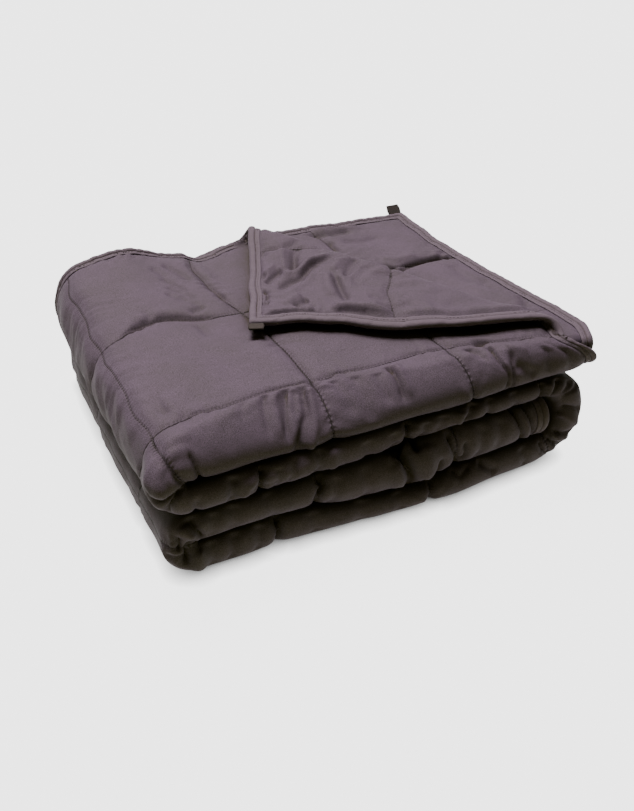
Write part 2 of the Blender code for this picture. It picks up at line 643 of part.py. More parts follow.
def main():
    """Clear the scene and build every piece."""
    for obj in list(bpy.data.objects):
        bpy.data.objects.remove(obj)
    tab_middle = TAB_WIDTH / 2 - BINDING_OVERHANG
    objects = [
        make_blanket(),
        make_binding(),
        make_tab("corner_tab_flap", math.pi / 2, (0.0, tab_middle), 0.0),
        make_tab("corner_tab_back", math.pi, (tab_middle, CLOTH_R), -BACK_TAB_LIFT),
    ]
    set_on_floor(objects)


main()
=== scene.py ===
"""A quilted weighted blanket, folded into a stack with one corner turned back.

Every piece is made flat, on the cloth laid out, and then goes through the same fold as the
solids that it replaces.  Flat coordinates are (q, r, s): q runs along the cloth, r runs across
it and s rises through its thickness.  Lengths are in metres; +X runs along the front edge of
the stack, +Y to its back and +Z up.
"""

from __future__ import annotations

import logging
import math
from dataclasses import dataclass, field
from enum import Enum
from typing import Any, Callable, ClassVar, Optional, Sequence

import bmesh
import bpy
import numpy as np
from mathutils import Matrix, Vector
from numpy.typing import NDArray

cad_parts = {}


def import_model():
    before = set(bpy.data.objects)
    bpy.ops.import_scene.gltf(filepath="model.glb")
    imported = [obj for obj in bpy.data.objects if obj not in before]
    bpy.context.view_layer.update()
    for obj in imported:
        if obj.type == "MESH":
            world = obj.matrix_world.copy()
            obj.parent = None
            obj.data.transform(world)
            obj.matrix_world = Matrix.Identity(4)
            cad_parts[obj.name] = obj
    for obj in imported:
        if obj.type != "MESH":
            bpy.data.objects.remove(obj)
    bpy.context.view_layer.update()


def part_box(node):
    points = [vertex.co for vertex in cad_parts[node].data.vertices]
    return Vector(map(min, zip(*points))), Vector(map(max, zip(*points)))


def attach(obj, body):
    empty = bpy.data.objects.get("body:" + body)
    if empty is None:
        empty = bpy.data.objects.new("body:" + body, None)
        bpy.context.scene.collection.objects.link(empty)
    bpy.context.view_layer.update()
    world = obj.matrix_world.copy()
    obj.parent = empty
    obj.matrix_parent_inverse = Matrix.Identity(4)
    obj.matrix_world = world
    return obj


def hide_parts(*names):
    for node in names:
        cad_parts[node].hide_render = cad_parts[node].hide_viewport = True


Floats = NDArray[np.float64]
Vec3 = tuple[float, float, float]
Colour = tuple[float, float, float, float]

LOG = logging.getLogger("folded_blanket")
MM = 0.001


class Side(Enum):
    """The two faces of the cloth, by the sign of s."""

    OUTER = 1
    INNER = -1


class Edge(Enum):
    """The four bound edges of the cloth laid flat."""

    START = 0
    FAR = 1
    END = 2
    NEAR = 3


# ---- small helpers --------------------------------------------------------------------
def smooth(t: Floats) -> Floats:
    """Return a soft step from 0 to 1."""
    t = np.clip(t, 0, 1)
    return t * t * (3 - 2 * t)


def eased(places: Floats, knots: Sequence[float], values: Sequence[float]) -> Floats:
    """Return table values at the places, eased from one knot to the next.

    Args:
        places: Where the values are wanted.
        knots: The rising places of the table's values.
        values: One value for each knot.

    Returns:
        One value for each place.
    """
    xs = np.asarray(knots)
    ys = np.asarray(values)
    row = np.clip(np.searchsorted(xs, places) - 1, 0, len(xs) - 2)
    share = smooth((places - xs[row]) / (xs[row + 1] - xs[row]))
    return ys[row] + (ys[row + 1] - ys[row]) * share


def linear_colour(hex_code: str) -> Colour:
    """Convert an sRGB colour.

    Args:
        hex_code: The colour, such as "#3C3C3C".

    Returns:
        The linear RGBA colour, opaque.
    """
    channels = [int(hex_code[index:index + 2], 16) / 255 for index in (1, 3, 5)]
    linear = [c / 12.92 if c <= 0.04045 else ((c + 0.055) / 1.055) ** 2.4 for c in channels]
    return (linear[0], linear[1], linear[2], 1.0)


# ---- the fold -------------------------------------------------------------------------
@dataclass(frozen=True)
class Bend:
    """A half turn between two straight stretches of a folded line.

    Attributes:
        centre: Where its middle lies along the stretches.
        height: The height of its middle.
        radius: Its radius.
        above: 1 where the line comes in above the middle, -1 where it comes in below.
        outward: 1 where a positive offset lies on the outside of the turn, -1 where inside.
    """

    centre: float
    height: float
    radius: float
    above: int
    outward: int


class Winding:
    """A line folded back and forth, with a half turn between each two straight stretches."""

    names: ClassVar[tuple[str, ...]] = ()

    @property
    def ends(self) -> tuple[float, float]:
        """Coordinates of the line's first and last point."""
        raise NotImplementedError

    @property
    def bends(self) -> tuple[Bend, ...]:
        """The half turns, in order."""
        raise NotImplementedError

    @property
    def starts(self) -> dict[str, float]:
        """How far along the line each stretch and each turn starts.

        Returns:
            The places by name, the last of them the line's end.
        """
        here, last = self.ends
        places = [0.0]
        for bend in self.bends:
            places.append(places[-1] + abs(bend.centre - here))
            places.append(places[-1] + math.pi * bend.radius)
            here = bend.centre
        places.append(places[-1] + abs(last - here))
        return dict(zip(self.names, places))

    def place(self, places: Floats, offset: Floats) -> tuple[Floats, Floats]:
        """Return where points of the folded line lie.

        Args:
            places: How far along the line they are.
            offset: How far beside the line they are.

        Returns:
            Their coordinate along the stretches, and their height.
        """
        bends = self.bends
        along = self.ends[0] - places
        height = bends[0].height + bends[0].above * (bends[0].radius + bends[0].outward * offset)
        way = -1
        for bend, start in zip(bends, list(self.starts.values())[1::2]):
            out = bend.radius + bend.outward * offset
            turn = np.clip((places - start) / bend.radius, 0, math.pi)
            past = np.maximum(places - start - math.pi * bend.radius, 0)
            reached = places >= start
            along = np.where(reached, bend.centre + way * (out * np.sin(turn) - past), along)
            height = np.where(reached, bend.height + bend.above * out * np.cos(turn), height)
            way = -way
        return along, height


@dataclass(frozen=True)
class Section(Winding):
    """The cloth folded across into four layers, L1, L4, L3 and L2 in cloth order.

    Along it runs r, and its own coordinates are y and the height above the strip's middle.
    """

    names: ClassVar[tuple[str, ...]] = ("L1", "front", "L4", "back", "L3", "inner", "L2", "end")
    cell_thickness: float = 7.8 * MM
    layer_pitch: float = 8.9 * MM
    front_fold_y: float = 17.25 * MM
    inner_fold_y: float = 20 * MM
    back_fold_y: float = 380 * MM
    top_edge_y: float = 372 * MM
    under_edge_y: float = 376 * MM

    @property
    def outer_radius(self) -> float:
        """Radius of the outer front fold."""
        return 1.5 * self.layer_pitch

    @property
    def half_strip(self) -> float:
        """Half the height of the four layers."""
        return self.outer_radius + self.cell_thickness / 2

    @property
    def ends(self) -> tuple[float, float]:
        """The y of the top layer's and of the under layer's edge."""
        return self.top_edge_y, self.under_edge_y

    @property
    def bends(self) -> tuple[Bend, ...]:
        """The folds between the four layers.

        Returns:
            The outer front fold, the back fold and the fold inside the front one.
        """
        inner_radius = self.layer_pitch / 2
        return (Bend(self.front_fold_y, 0.0, self.outer_radius, 1, 1),
                Bend(self.back_fold_y, -self.layer_pitch, inner_radius, -1, 1),
                Bend(self.inner_fold_y, 0.0, inner_radius, -1, -1))


@dataclass(frozen=True)
class Path(Winding):
    """The strip folded lengthways into A, B, D and C, and the folds between them.

    Along it runs q, and its own coordinates are x and z.
    """

    names: ClassVar[tuple[str, ...]] = ("A", "AB", "B", "BD", "D", "DC", "C", "end")
    section_pitch: float = 36 * MM
    a_end_x: float = 288 * MM
    left_fold_ab_x: float = -135 * MM
    right_wrap_x: float = 231 * MM
    left_fold_dc_x: float = -126 * MM
    c_end_x: float = 234 * MM
    z_d: float = 17.25 * MM

    @property
    def heights(self) -> dict[str, float]:
        """Height of the middle of each section."""
        return {name: self.z_d + self.section_pitch * index for index, name in enumerate("DCBA")}

    @property
    def ends(self) -> tuple[float, float]:
        """The x of the ends of A and C."""
        return self.a_end_x, self.c_end_x

    @property
    def bends(self) -> tuple[Bend, ...]:
        """The folds between the four sections.

        Returns:
            The fold from A to B, the wrap from B to D round C, and the fold from D to C.
        """
        z = self.heights
        radius = self.section_pitch / 2
        return (Bend(self.left_fold_ab_x, (z["A"] + z["B"]) / 2, radius, 1, 1),
                Bend(self.right_wrap_x, z["C"], self.section_pitch, 1, -1),
                Bend(self.left_fold_dc_x, (z["D"] + z["C"]) / 2, radius, -1, -1))

    def along(self, stretch: str, place: float) -> float:
        """Return q of a place on the path.

        Args:
            stretch: The name of a stretch or of a turn.
            place: The x on a straight stretch, or the degrees round a turn.

        Returns:
            Its q.
        """
        half, is_turn = divmod(self.names.index(stretch), 2)
        if is_turn:
            return self.starts[stretch] + math.radians(place) * self.bends[half].radius
        begins = (self.a_end_x, *(bend.centre for bend in self.bends))
        return self.starts[stretch] + abs(place - begins[half])


@dataclass(frozen=True)
class TurnedCorner:
    """The corner of the top layer that is turned over a slanting line and lies as a flap."""

    section: Section
    path: Path
    back_flat: tuple[float, float] = (57 * MM, 372 * MM)
    front_flat: tuple[float, float] = (286 * MM, 46 * MM)
    corner_flat: tuple[float, float] = (288 * MM, 372 * MM)
    back_laid: tuple[float, float] = (55 * MM, 352 * MM)
    front_laid: tuple[float, float] = (250 * MM, 16 * MM)
    corner_laid: tuple[float, float] = (-15 * MM, 151 * MM)
    roll_back: float = 10.5 * MM
    roll_front: float = 6.5 * MM
    rest_gap: float = 5.5 * MM
    sag_length: float = 90 * MM
    slip_reach: float = 90 * MM
    slip_fade_r: tuple[float, float] = (315 * MM, 392 * MM)
    # millimetres along the flap's long edge, how far it bows out there, and how far it is gathered
    edge_r: tuple[float, ...] = (0, 45, 100, 160, 220, 280, 330)
    edge_bow: tuple[float, ...] = (0, -4, 1, 10, 6, 0, 0)
    edge_gather: tuple[float, ...] = (0, 6, 16, 27, 19, 7, 0)
    bow_depth: float = 150 * MM
    gather_start: float = 25 * MM

    @staticmethod
    def _line(back: tuple[float, float], front: tuple[float, float]) -> tuple[Floats, Floats, float]:
        """Measure a line.

        Args:
            back: Its back end.
            front: Its front end.

        Returns:
            Its start, its direction and its length.
        """
        start = np.array(back)
        along = np.array(front) - start
        length = float(np.hypot(*along))
        return start, along / length, length

    def places(self, x: Floats, y: Floats) -> tuple[Floats, Floats]:
        """Place flat points by the line of the turn.

        Args:
            x: x of the points, laid out flat.
            y: y of the points, laid out flat.

        Returns:
            How far they lie along the line, and how far beyond it.
        """
        start, along, _ = self._line(self.back_flat, self.front_flat)
        dx = x - start[0]
        dy = y - start[1]
        return dx * along[0] + dy * along[1], dy * along[0] - dx * along[1]

    def radius(self, along: Floats) -> Floats:
        """Return the radius of the turn, from its back to its front end."""
        length = self._line(self.back_flat, self.front_flat)[2]
        return self.roll_back + (self.roll_front - self.roll_back) * np.clip(along / length, 0, 1)

    def _skew(self) -> tuple[float, float]:
        """Work out what brings the corner to its place.

        Returns:
            The drift along the turn, and the stretch across it.
        """
        start, along, length = self._line(self.back_laid, self.front_laid)
        scale = length / self._line(self.back_flat, self.front_flat)[2]
        flat_along, beyond = self.places(*self.corner_flat)
        past = beyond - math.pi * float(self.radius(flat_along))
        offset = np.array(self.corner_laid) - start
        across = offset[1] * along[0] - offset[0] * along[1]
        return (float(offset @ along) - flat_along * scale) / past, -across / past

    def slipped(self, q: Floats, r: Floats) -> tuple[Floats, Floats]:
        """Pull the top layer along with the turn.

        Args:
            q: q of the flat points.
            r: r of the flat points.

        Returns:
            Their q and r after it.
        """
        flat_start, flat_along, flat_length = self._line(self.back_flat, self.front_flat)
        start, laid_along, length = self._line(self.back_laid, self.front_laid)
        along, beyond = self.places(self.path.a_end_x - q, self.section.top_edge_y - r)
        held = np.clip(along, 0, flat_length)
        share = np.exp(-(np.minimum(beyond, 0) / self.slip_reach) ** 2)
        fade_start, fade_end = self.slip_fade_r
        share = share * (1 - smooth((r - fade_start) / (fade_end - fade_start)))
        scale = length / flat_length
        pull = [start[axis] - flat_start[axis] + (laid_along[axis] * scale - flat_along[axis]) * held
                for axis in (0, 1)]
        return q - pull[0] * share, r - pull[1] * share

    def gathered(self, q: Floats, r: Floats) -> tuple[Floats, Floats]:
        """Bow and gather the flap along its long edge.

        Args:
            q: q of the flat points.
            r: r of the flat points.

        Returns:
            Their q and r after it.
        """
        along, beyond = self.places(self.path.a_end_x - q, self.section.top_edge_y - r)
        share = smooth((beyond - math.pi * self.radius(along)) / self.gather_start)
        bow = eased(r / MM, self.edge_r, self.edge_bow) * (1 - smooth(q / self.bow_depth)) * MM
        gather = eased(r / MM, self.edge_r, self.edge_gather) * MM
        return q - bow * share, r - gather * share

    def place(self, q: Floats, r: Floats, s: Floats) -> tuple[Floats, Floats, Floats]:
        """Turn the corner over.

        Args:
            q: q of the flat points.
            r: r of the flat points.
            s: Height of the points in the cloth.

        Returns:
            Their x and y, and their height above the strip's middle.
        """
        start, laid_along, length = self._line(self.back_laid, self.front_laid)
        scale = length / self._line(self.back_flat, self.front_flat)[2]
        drift, stretch = self._skew()
        q, r = self.gathered(q, r)
        along, beyond = self.places(self.path.a_end_x - q, self.section.top_edge_y - r)
        radius = self.radius(along)
        turn = np.clip(beyond / radius, 0, math.pi)
        past = np.maximum(beyond - math.pi * radius, 0)
        out = (radius - s) * np.sin(turn) - stretch * past
        line = along * scale + drift * past
        x = start[0] + laid_along[0] * line - laid_along[1] * out
        y = start[1] + laid_along[1] * line + laid_along[0] * out
        drop = 2 * radius - self.section.cell_thickness - self.rest_gap
        rise = radius - (radius - s) * np.cos(turn) - drop * smooth(past / self.sag_length)
        return x, y, self.section.outer_radius + rise


@dataclass(frozen=True)
class Settling:
    """How the stack of sections bulges and sags, as tables in millimetres."""

    level_x: tuple[float, ...] = (-160, -50, 30, 85, 130, 250)
    level_tops: tuple[tuple[float, ...], ...] = (
        (35, 35, 28, 25, 32, 34),
        (69, 70, 72, 76, 78, 78),
        (101, 100, 99, 99, 99, 100),
    )
    top_x: tuple[float, ...] = (-150, -90, -20, 5, 50, 90, 150, 220, 290)
    top_rows: tuple[tuple[float, tuple[float, ...]], ...] = (
        (0, (139, 140, 140, 139, 139, 139, 139, 139, 141)),
        (55, (141, 142, 142, 141, 141, 141, 141, 141, 142)),
        (130, (144, 147, 146, 145, 146, 147, 146, 142, 141)),
        (200, (144, 147, 145, 144, 145, 147, 147, 141, 138)),
        (290, (147, 153, 147, 141, 146, 149, 147, 141, 137)),
        (372, (150, 159, 144, 135, 146, 153, 150, 144, 139)),
    )
    front_x: tuple[float, ...] = (-150, -50, 50, 120, 200, 280)
    fronts: tuple[tuple[float, ...], ...] = (
        (4, 5, 0, -5, 1, 3),
        (2, 0, -5, -4, -3, 0),
        (-2, -2, 1, 2, 2, 4),
        (-4, -6, -5, -4, -3, -2),
    )
    front_reach: float = 110
    # how far the top of A's front leans back in a broad roll: by x, and its share by height in A
    roll_x: tuple[float, ...] = (-150, -100, -50, 20, 70, 130, 210, 260)
    roll_back: tuple[float, ...] = (12, 26, 38, 36, 28, 20, 10, 3)
    roll_height: tuple[float, ...] = (-17, -9, 0, 9, 15, 17)
    roll_share: tuple[float, ...] = (0, 0.18, 0.45, 0.76, 0.97, 1)
    roll_reach: float = 80
    side_y: tuple[float, ...] = (0, 50, 150, 200, 300, 390)
    left_stray: tuple[float, ...] = (-5, -2, 1, 4, 11, 21)
    left_reach: float = 230
    right_stray: tuple[float, ...] = (-1, 13, 6, 2, -1, 2)
    right_reach: float = 110

    def top_height(self, x: Floats, y: Floats) -> Floats:
        """Find the settled height of the very top.

        Args:
            x: x of the places, in millimetres.
            y: y of the places, in millimetres.

        Returns:
            One height for each place, in millimetres.
        """
        columns = [eased(x, self.top_x, row[1]) for row in self.top_rows]
        height = columns[0].copy()
        for index in range(len(self.top_rows) - 1):
            low, high = self.top_rows[index][0], self.top_rows[index + 1][0]
            height += (columns[index + 1] - columns[index]) * smooth((y - low) / (high - low))
        return height

    def place(self, points: Floats, path: Path, z_top: float) -> Floats:
        """Return points of the even stack, moved to where the settled stack holds them.

        Args:
            points: Points in metres, one row each.
            path: The path, for its section heights.
            z_top: Height of the even stack in metres.

        Returns:
            The moved points.
        """
        x, y, z = points.T / MM
        pitch = path.section_pitch / MM
        middles = [height / MM for height in path.heights.values()]
        fronts = [eased(x, self.front_x, row) for row in self.fronts]
        shift_y = fronts[0].copy()
        for index in range(3):
            shift_y += (fronts[index + 1] - fronts[index]) * smooth((z - middles[index]) / pitch)
        roll = eased(x, self.roll_x, self.roll_back)
        roll = roll * np.interp(z - middles[3], self.roll_height, self.roll_share)
        new_y = (y + shift_y * (1 - smooth(y / self.front_reach))
                 + roll * (1 - smooth(y / self.roll_reach)))

        left_share = 1 - smooth((x - path.left_fold_ab_x / MM) / self.left_reach)
        right_share = smooth((x - path.a_end_x / MM + self.right_reach) / self.right_reach)
        right_share = right_share * smooth((z - middles[2]) / pitch)
        new_x = x + eased(y, self.side_y, self.left_stray) * left_share
        new_x = new_x + eased(y, self.side_y, self.right_stray) * right_share

        between = [(low + high) / 2 for low, high in zip(middles, middles[1:])]
        levels = [0.0, *between, z_top / MM]
        heights = [np.zeros_like(x)]
        heights += [eased(x, self.level_x, row) for row in self.level_tops]
        heights += [self.top_height(x, y)]
        new_z = heights[-1] + z - z_top / MM
        for index in reversed(range(4)):
            share = (z - levels[index]) / (levels[index + 1] - levels[index])
            within = heights[index] + (heights[index + 1] - heights[index]) * share
            new_z = np.where(z < levels[index + 1], within, new_z)
        return np.stack((new_x, new_y, new_z), axis=1) * MM


@dataclass(frozen=True)
class Pull:
    """A place where the cloth is drawn along in its own plane, in millimetres.

    Attributes:
        place: Its middle, as (q, r).
        by: How far it is drawn, along q and along r.
        reach: How far round it that is felt, along q and along r.
    """

    place: tuple[float, float]
    by: tuple[float, float]
    reach: tuple[float, float]

    def share(self, q: Floats, r: Floats) -> Floats:
        """Find how strongly flat points feel it.

        Args:
            q: q of the flat points.
            r: r of the flat points.

        Returns:
            One share for each point, from 0 to 1.
        """
        away_q = (q / MM - self.place[0]) / self.reach[0]
        away_r = (r / MM - self.place[1]) / self.reach[1]
        return np.exp(-away_q ** 2 - away_r ** 2)


@dataclass(frozen=True)
class Wander:
    """The slight waviness of the sewing, which never runs quite straight."""

    height: float = 0.4 * MM
    lengths: tuple[float, ...] = (47 * MM, 71 * MM, 118 * MM)

    def drawn(self, q: Floats, r: Floats) -> tuple[Floats, Floats]:
        """Add the waviness.

        Args:
            q: q of the flat points.
            r: r of the flat points.

        Returns:
            Their q and r after it.
        """
        new_q, new_r = q.copy(), r.copy()
        for index, length in enumerate(self.lengths):
            turn = 2 * math.pi / length
            new_q += self.height * np.sin(turn * (r + 0.35 * q) + 1.7 * index)
            new_r += self.height * np.sin(turn * (q - 0.30 * r) + 2.9 * index + 0.8)
        return new_q, new_r


@dataclass(frozen=True)
class Fold:
    """The whole fold, from the flat cloth to the settled stack."""

    section: Section
    path: Path
    corner: TurnedCorner
    settling: Settling
    shift: Vec3 = (0.0, 0.0, 0.0)
    pulls: tuple[Pull, ...] = ()
    wander: Wander = Wander()

    @property
    def length_q(self) -> float:
        """Length of the cloth along q."""
        return self.path.starts["end"]

    @property
    def length_r(self) -> float:
        """Length of the cloth along r."""
        return self.section.starts["end"]

    def is_turned(self, q: Floats, r: Floats) -> NDArray[np.bool_]:
        """Return which flat points belong to the turned-back corner."""
        _, beyond = self.corner.places(self.path.a_end_x - q, self.section.top_edge_y - r)
        return (q < self.path.starts["AB"]) & (r < self.section.starts["front"]) & (beyond > 0)

    def place(self, flat: Floats) -> Floats:
        """Fold flat points.

        Args:
            flat: Their q, r and s, one row each.

        Returns:
            The points where the folded and settled blanket holds them, one row each.
        """
        q, r, s = flat.T
        shares = [(pull, pull.share(q, r)) for pull in self.pulls]
        q, r = self.wander.drawn(q, r)
        for pull, share in shares:
            q = q + pull.by[0] * MM * share
            r = r + pull.by[1] * MM * share
        near_turn = (q < self.path.starts["AB"]) & (r < self.section.starts["L4"])
        turned = self.is_turned(q, r)
        slip_q, slip_r = self.corner.slipped(q, r)
        y, n = self.section.place(np.where(near_turn, slip_r, r), s)
        x, z = self.path.place(np.where(near_turn, slip_q, q), n)
        flap_x, flap_y, flap_n = self.corner.place(q, r, s)
        z_a = self.path.heights["A"]
        points = np.stack((
            np.where(turned, flap_x, x),
            np.where(turned, flap_y, y),
            np.where(turned, z_a + flap_n, z),
        ), axis=1)
        z_top = z_a + self.section.half_strip
        return self.settling.place(points, self.path, z_top) + np.array(self.shift)


# ---- the surface of the quilted cloth -------------------------------------------------
@dataclass(frozen=True)
class Crease:
    """A trough or ridge along a line on the flat cloth.

    Attributes:
        side: The face that it shows on.
        line: Its points as (q, r), in millimetres.
        height: Its height in millimetres, negative for a trough.
        width: Half its width in millimetres.
        sharp: Whether it is pinched to an edge.
    """

    side: Side
    line: tuple[tuple[float, float], ...]
    height: float
    width: float
    sharp: bool = False
    pinch: ClassVar[float] = 1.6
    taper: ClassVar[float] = 0.2
    end_share: ClassVar[float] = 0.15

    @classmethod
    def table(cls, side: Side, sharp: bool, rows: Sequence[Sequence[float]]) -> list[Crease]:
        """Return the creases of one table.

        Args:
            side: The face that they show on.
            sharp: Whether they are pinched to an edge.
            rows: For each its height, half its width, and q and r of each point of its line.

        Returns:
            One crease for each row.
        """
        return [cls(side, tuple(zip(row[2::2], row[3::2])), row[0], row[1], sharp) for row in rows]

    def rise(self, q: Floats, r: Floats) -> Floats:
        """Return the height that it adds to the cloth.

        Args:
            q: q of the flat points.
            r: r of the flat points.

        Returns:
            One height for each point, in metres.
        """
        points = np.array(self.line) * MM
        lengths = np.hypot(*np.diff(points, axis=0).T)
        total = float(lengths.sum())
        nearest = np.full_like(q, 1e3)
        share = np.zeros_like(q)
        done = 0.0
        for start, end, length in zip(points, points[1:], lengths):
            step = (end - start) / length
            along = np.clip((q - start[0]) * step[0] + (r - start[1]) * step[1], 0, length)
            distance = np.hypot(q - start[0] - step[0] * along, r - start[1] - step[1] * along)
            closer = distance < nearest
            nearest = np.where(closer, distance, nearest)
            share = np.where(closer, (done + along) / total, share)
            done += float(length)
        reach = nearest / (self.width * MM)
        profile = np.exp(-self.pinch * reach) if self.sharp else np.exp(-reach ** 2)
        taper = smooth(np.minimum(share, 1 - share) / self.taper + self.end_share)
        return self.height * MM * profile * taper


@dataclass(frozen=True)
class Ripples:
    """Small uneven folds that stand across a line of sewing and die out beside it."""

    height: float = 1.0 * MM
    reach: float = 15 * MM
    lengths: tuple[float, ...] = (11 * MM, 17 * MM, 28 * MM, 46 * MM)
    # they come in spells, stronger and weaker along the seam
    spell_length: float = 130 * MM
    spell_range: tuple[float, float] = (0.55, 0.45)
    mean_arch: float = 1.27

    def rise(self, distance: Floats, along: Floats, seed: int) -> Floats:
        """Return their height beside one seam.

        Args:
            distance: Distance from the seam, in metres.
            along: Place along the seam, in metres.
            seed: A number of the seam's own.

        Returns:
            One height for each point, in metres.
        """
        generator = np.random.default_rng(seed)
        total = np.zeros_like(along)
        for length in self.lengths:
            phase, lean, weight = generator.uniform((0, -0.8, 0.5), (math.pi, 0.8, 1.0))
            # round ridges with sharp valleys between them, level with the cloth on average
            arch = np.abs(np.sin(math.pi * (along + lean * distance) / length + phase))
            total += weight * (2 * arch - self.mean_arch)
        mean, swing = self.spell_range
        turn = 2 * math.pi * along / self.spell_length + generator.uniform(0, 6.3)
        spell = (mean + swing * np.sin(turn)) ** 2
        return self.height * total * spell * np.exp(-distance / self.reach)


@dataclass(frozen=True)
class Quilting:
    """The quilted cloth's own relief: squares, seams, ripples and the larger creases."""

    fold: Fold
    creases: tuple[Crease, ...] = ()
    ripples: Ripples = Ripples()
    seam_thickness: float = 2.6 * MM
    seam_shoulder: float = 20 * MM
    seam_clear: float = 5 * MM
    billow_height: float = 1.5 * MM
    billow_lengths: tuple[float, ...] = (52 * MM, 74 * MM, 88 * MM, 121 * MM, 150 * MM)
    # the sewing lies slack where the left-hand fold stretches it, and on the inner face
    slack: float = 0.6
    slack_reach: float = 12 * MM
    inner_tightness: float = 0.4
    binding_width: float = 12 * MM
    binding_lap: float = 2 * MM
    binding_fade: float = 6 * MM
    cross_seams: tuple[tuple[str, float], ...] = (
        ("A", 146 * MM), ("A", 0.0), ("AB", 35),
        ("B", -72 * MM), ("B", 75 * MM), ("B", 226 * MM), ("BD", 160),
        ("D", 101 * MM), ("D", -54 * MM), ("DC", 95),
        ("C", -17 * MM), ("C", 127 * MM),
    )
    first_long_seam_y: float = 200 * MM
    second_long_seam_y: float = 51 * MM
    last_long_seam_y: float = 235 * MM
    long_seam_count: int = 9

    @property
    def seams_q(self) -> list[float]:
        """q of the seams that run across the cloth."""
        return [self.fold.path.along(*seam) for seam in self.cross_seams]

    @property
    def seams_r(self) -> list[float]:
        """r of the seams that run along the cloth.

        Returns:
            Their r, rising.
        """
        section = self.fold.section
        second = section.top_edge_y - self.second_long_seam_y
        last = self.fold.length_r - (section.under_edge_y - self.last_long_seam_y)
        between = np.linspace(second, last, self.long_seam_count - 1)
        return [section.top_edge_y - self.first_long_seam_y, *between]

    def _rise(self, places: Floats, seams: Sequence[float], length: float) -> Floats:
        """Find the rise of the cloth between seams.

        Args:
            places: Places across the seams.
            seams: Places of the seams.
            length: The cloth's length across them.

        Returns:
            0 on a seam or under the binding, and 1 at a square's full crown.
        """
        rise = np.ones_like(places)
        for seam in seams:
            rise = np.minimum(rise, np.abs(places - seam) / self.seam_shoulder)
        from_edge = np.minimum(places, length - places) - self.binding_width
        rise = np.clip(np.minimum(rise, from_edge / self.seam_shoulder), 0, 1)
        return np.sqrt(1 - (1 - rise) ** 2)

    def crown(self, q: Floats, r: Floats) -> Floats:
        """Return 0 on the sewing and 1 at a square's full crown."""
        fold = self.fold
        return self._rise(q, self.seams_q, fold.length_q) * self._rise(r, self.seams_r, fold.length_r)

    def _billows(self, q: Floats, r: Floats, side: Side) -> Floats:
        """Find the broad soft waves over whole squares.

        Args:
            q: q of the flat points.
            r: r of the flat points.
            side: The face.

        Returns:
            One height for each point, from -1 to 1.
        """
        generator = np.random.default_rng(7 if side is Side.OUTER else 8)
        total = np.zeros_like(q)
        for length in self.billow_lengths:
            angle, phase = generator.uniform(0, 2 * math.pi, 2)
            total += np.sin(2 * math.pi * (q * math.cos(angle) + r * math.sin(angle)) / length + phase)
        return total / len(self.billow_lengths)

    def half_thickness(self, q: Floats, r: Floats, side: Side) -> Floats:
        """Find how far one face stands from the middle of the cloth.

        Args:
            q: q of the flat points.
            r: r of the flat points.
            side: The face.

        Returns:
            One height for each point, in metres.
        """
        fold = self.fold
        crown = self.crown(q, r)
        fullness = fold.section.cell_thickness - self.seam_thickness
        height = (self.seam_thickness + fullness * crown) / 2
        from_edge = np.minimum(np.minimum(q, fold.length_q - q), np.minimum(r, fold.length_r - r))
        free = smooth((from_edge - self.binding_width + self.binding_lap) / self.binding_fade)
        relief = self.billow_height * self._billows(q, r, side) * crown
        seed = 0 if side is Side.OUTER else 100
        ways = ((q, r, self.seams_q, fold.length_q, seed),
                (r, q, self.seams_r, fold.length_r, seed + 50))
        for across, along, seams, length, first in ways:
            lines = (self.binding_width, *seams, length - self.binding_width)
            for index, line in enumerate(lines):
                distance = np.abs(across - line)
                ripples = self.ripples.rise(distance, along, first + index)
                relief += ripples * smooth(distance / self.seam_clear)
        for crease in self.creases:
            if crease.side is side:
                relief += crease.rise(q, r)
        return height + relief * free

    def squares(self, flat: Floats) -> Floats:
        """Count places in squares, so that every seam lies on a whole number.

        Args:
            flat: (q, r, s) of the points.

        Returns:
            Two counts for each point.
        """
        q, r, _ = flat.T
        lines_q = [0.0, *self.seams_q, self.fold.length_q]
        lines_r = [0.0, *self.seams_r, self.fold.length_r]
        return np.stack((np.interp(q, lines_q, range(len(lines_q))),
                         np.interp(r, lines_r, range(len(lines_r)))), axis=1)

    def tightness(self, flat: Floats) -> Floats:
        """Find how hard the sewing draws the cloth in.

        Args:
            flat: (q, r, s) of the points.

        Returns:
            Two columns, the first of them from 0 to 1 and the second 0.
        """
        q, r, s = flat.T
        slack = np.exp(-((q - self.seams_q[2]) / self.slack_reach) ** 2) * (r < self.seams_r[1])
        strength = np.where(s > 0, 1 - self.slack * slack, self.inner_tightness)
        return np.stack((strength, np.zeros_like(strength)), axis=1)


# ---- materials ------------------------------------------------------------------------
class NodeTree:
    """An empty node tree, with one way of adding a node.

    A node is added with its inputs, by place or by name, and with its own settings.  An input is
    a value, a socket to link, or a node, whose result is then used.
    """

    def __init__(self, tree: bpy.types.NodeTree) -> None:
        """Take a material's or a world's tree and empty it."""
        self.tree: bpy.types.NodeTree = tree
        self.tree.nodes.clear()

    def add(self, kind: str, *inputs: Any, links: Optional[dict[str, Any]] = None,
            **settings: Any) -> bpy.types.Node:
        """Add a node.

        Args:
            kind: The node's type, without "ShaderNode".
            inputs: Its first inputs, in order.
            links: Its other inputs, by name.
            settings: Properties of the node itself.

        Returns:
            The new node.
        """
        node = self.tree.nodes.new("ShaderNode" + kind)
        for name, value in settings.items():
            setattr(node, name, value)
        pairs = list(zip((socket for socket in node.inputs if socket.enabled), inputs))
        pairs += [(node.inputs[name], value) for name, value in (links or {}).items()]
        for socket, value in pairs:
            if isinstance(value, bpy.types.Node):
                value = next(output for output in value.outputs if output.enabled)
            if isinstance(value, bpy.types.NodeSocket):
                self.tree.links.new(value, socket)
            else:
                socket.default_value = value
        return node


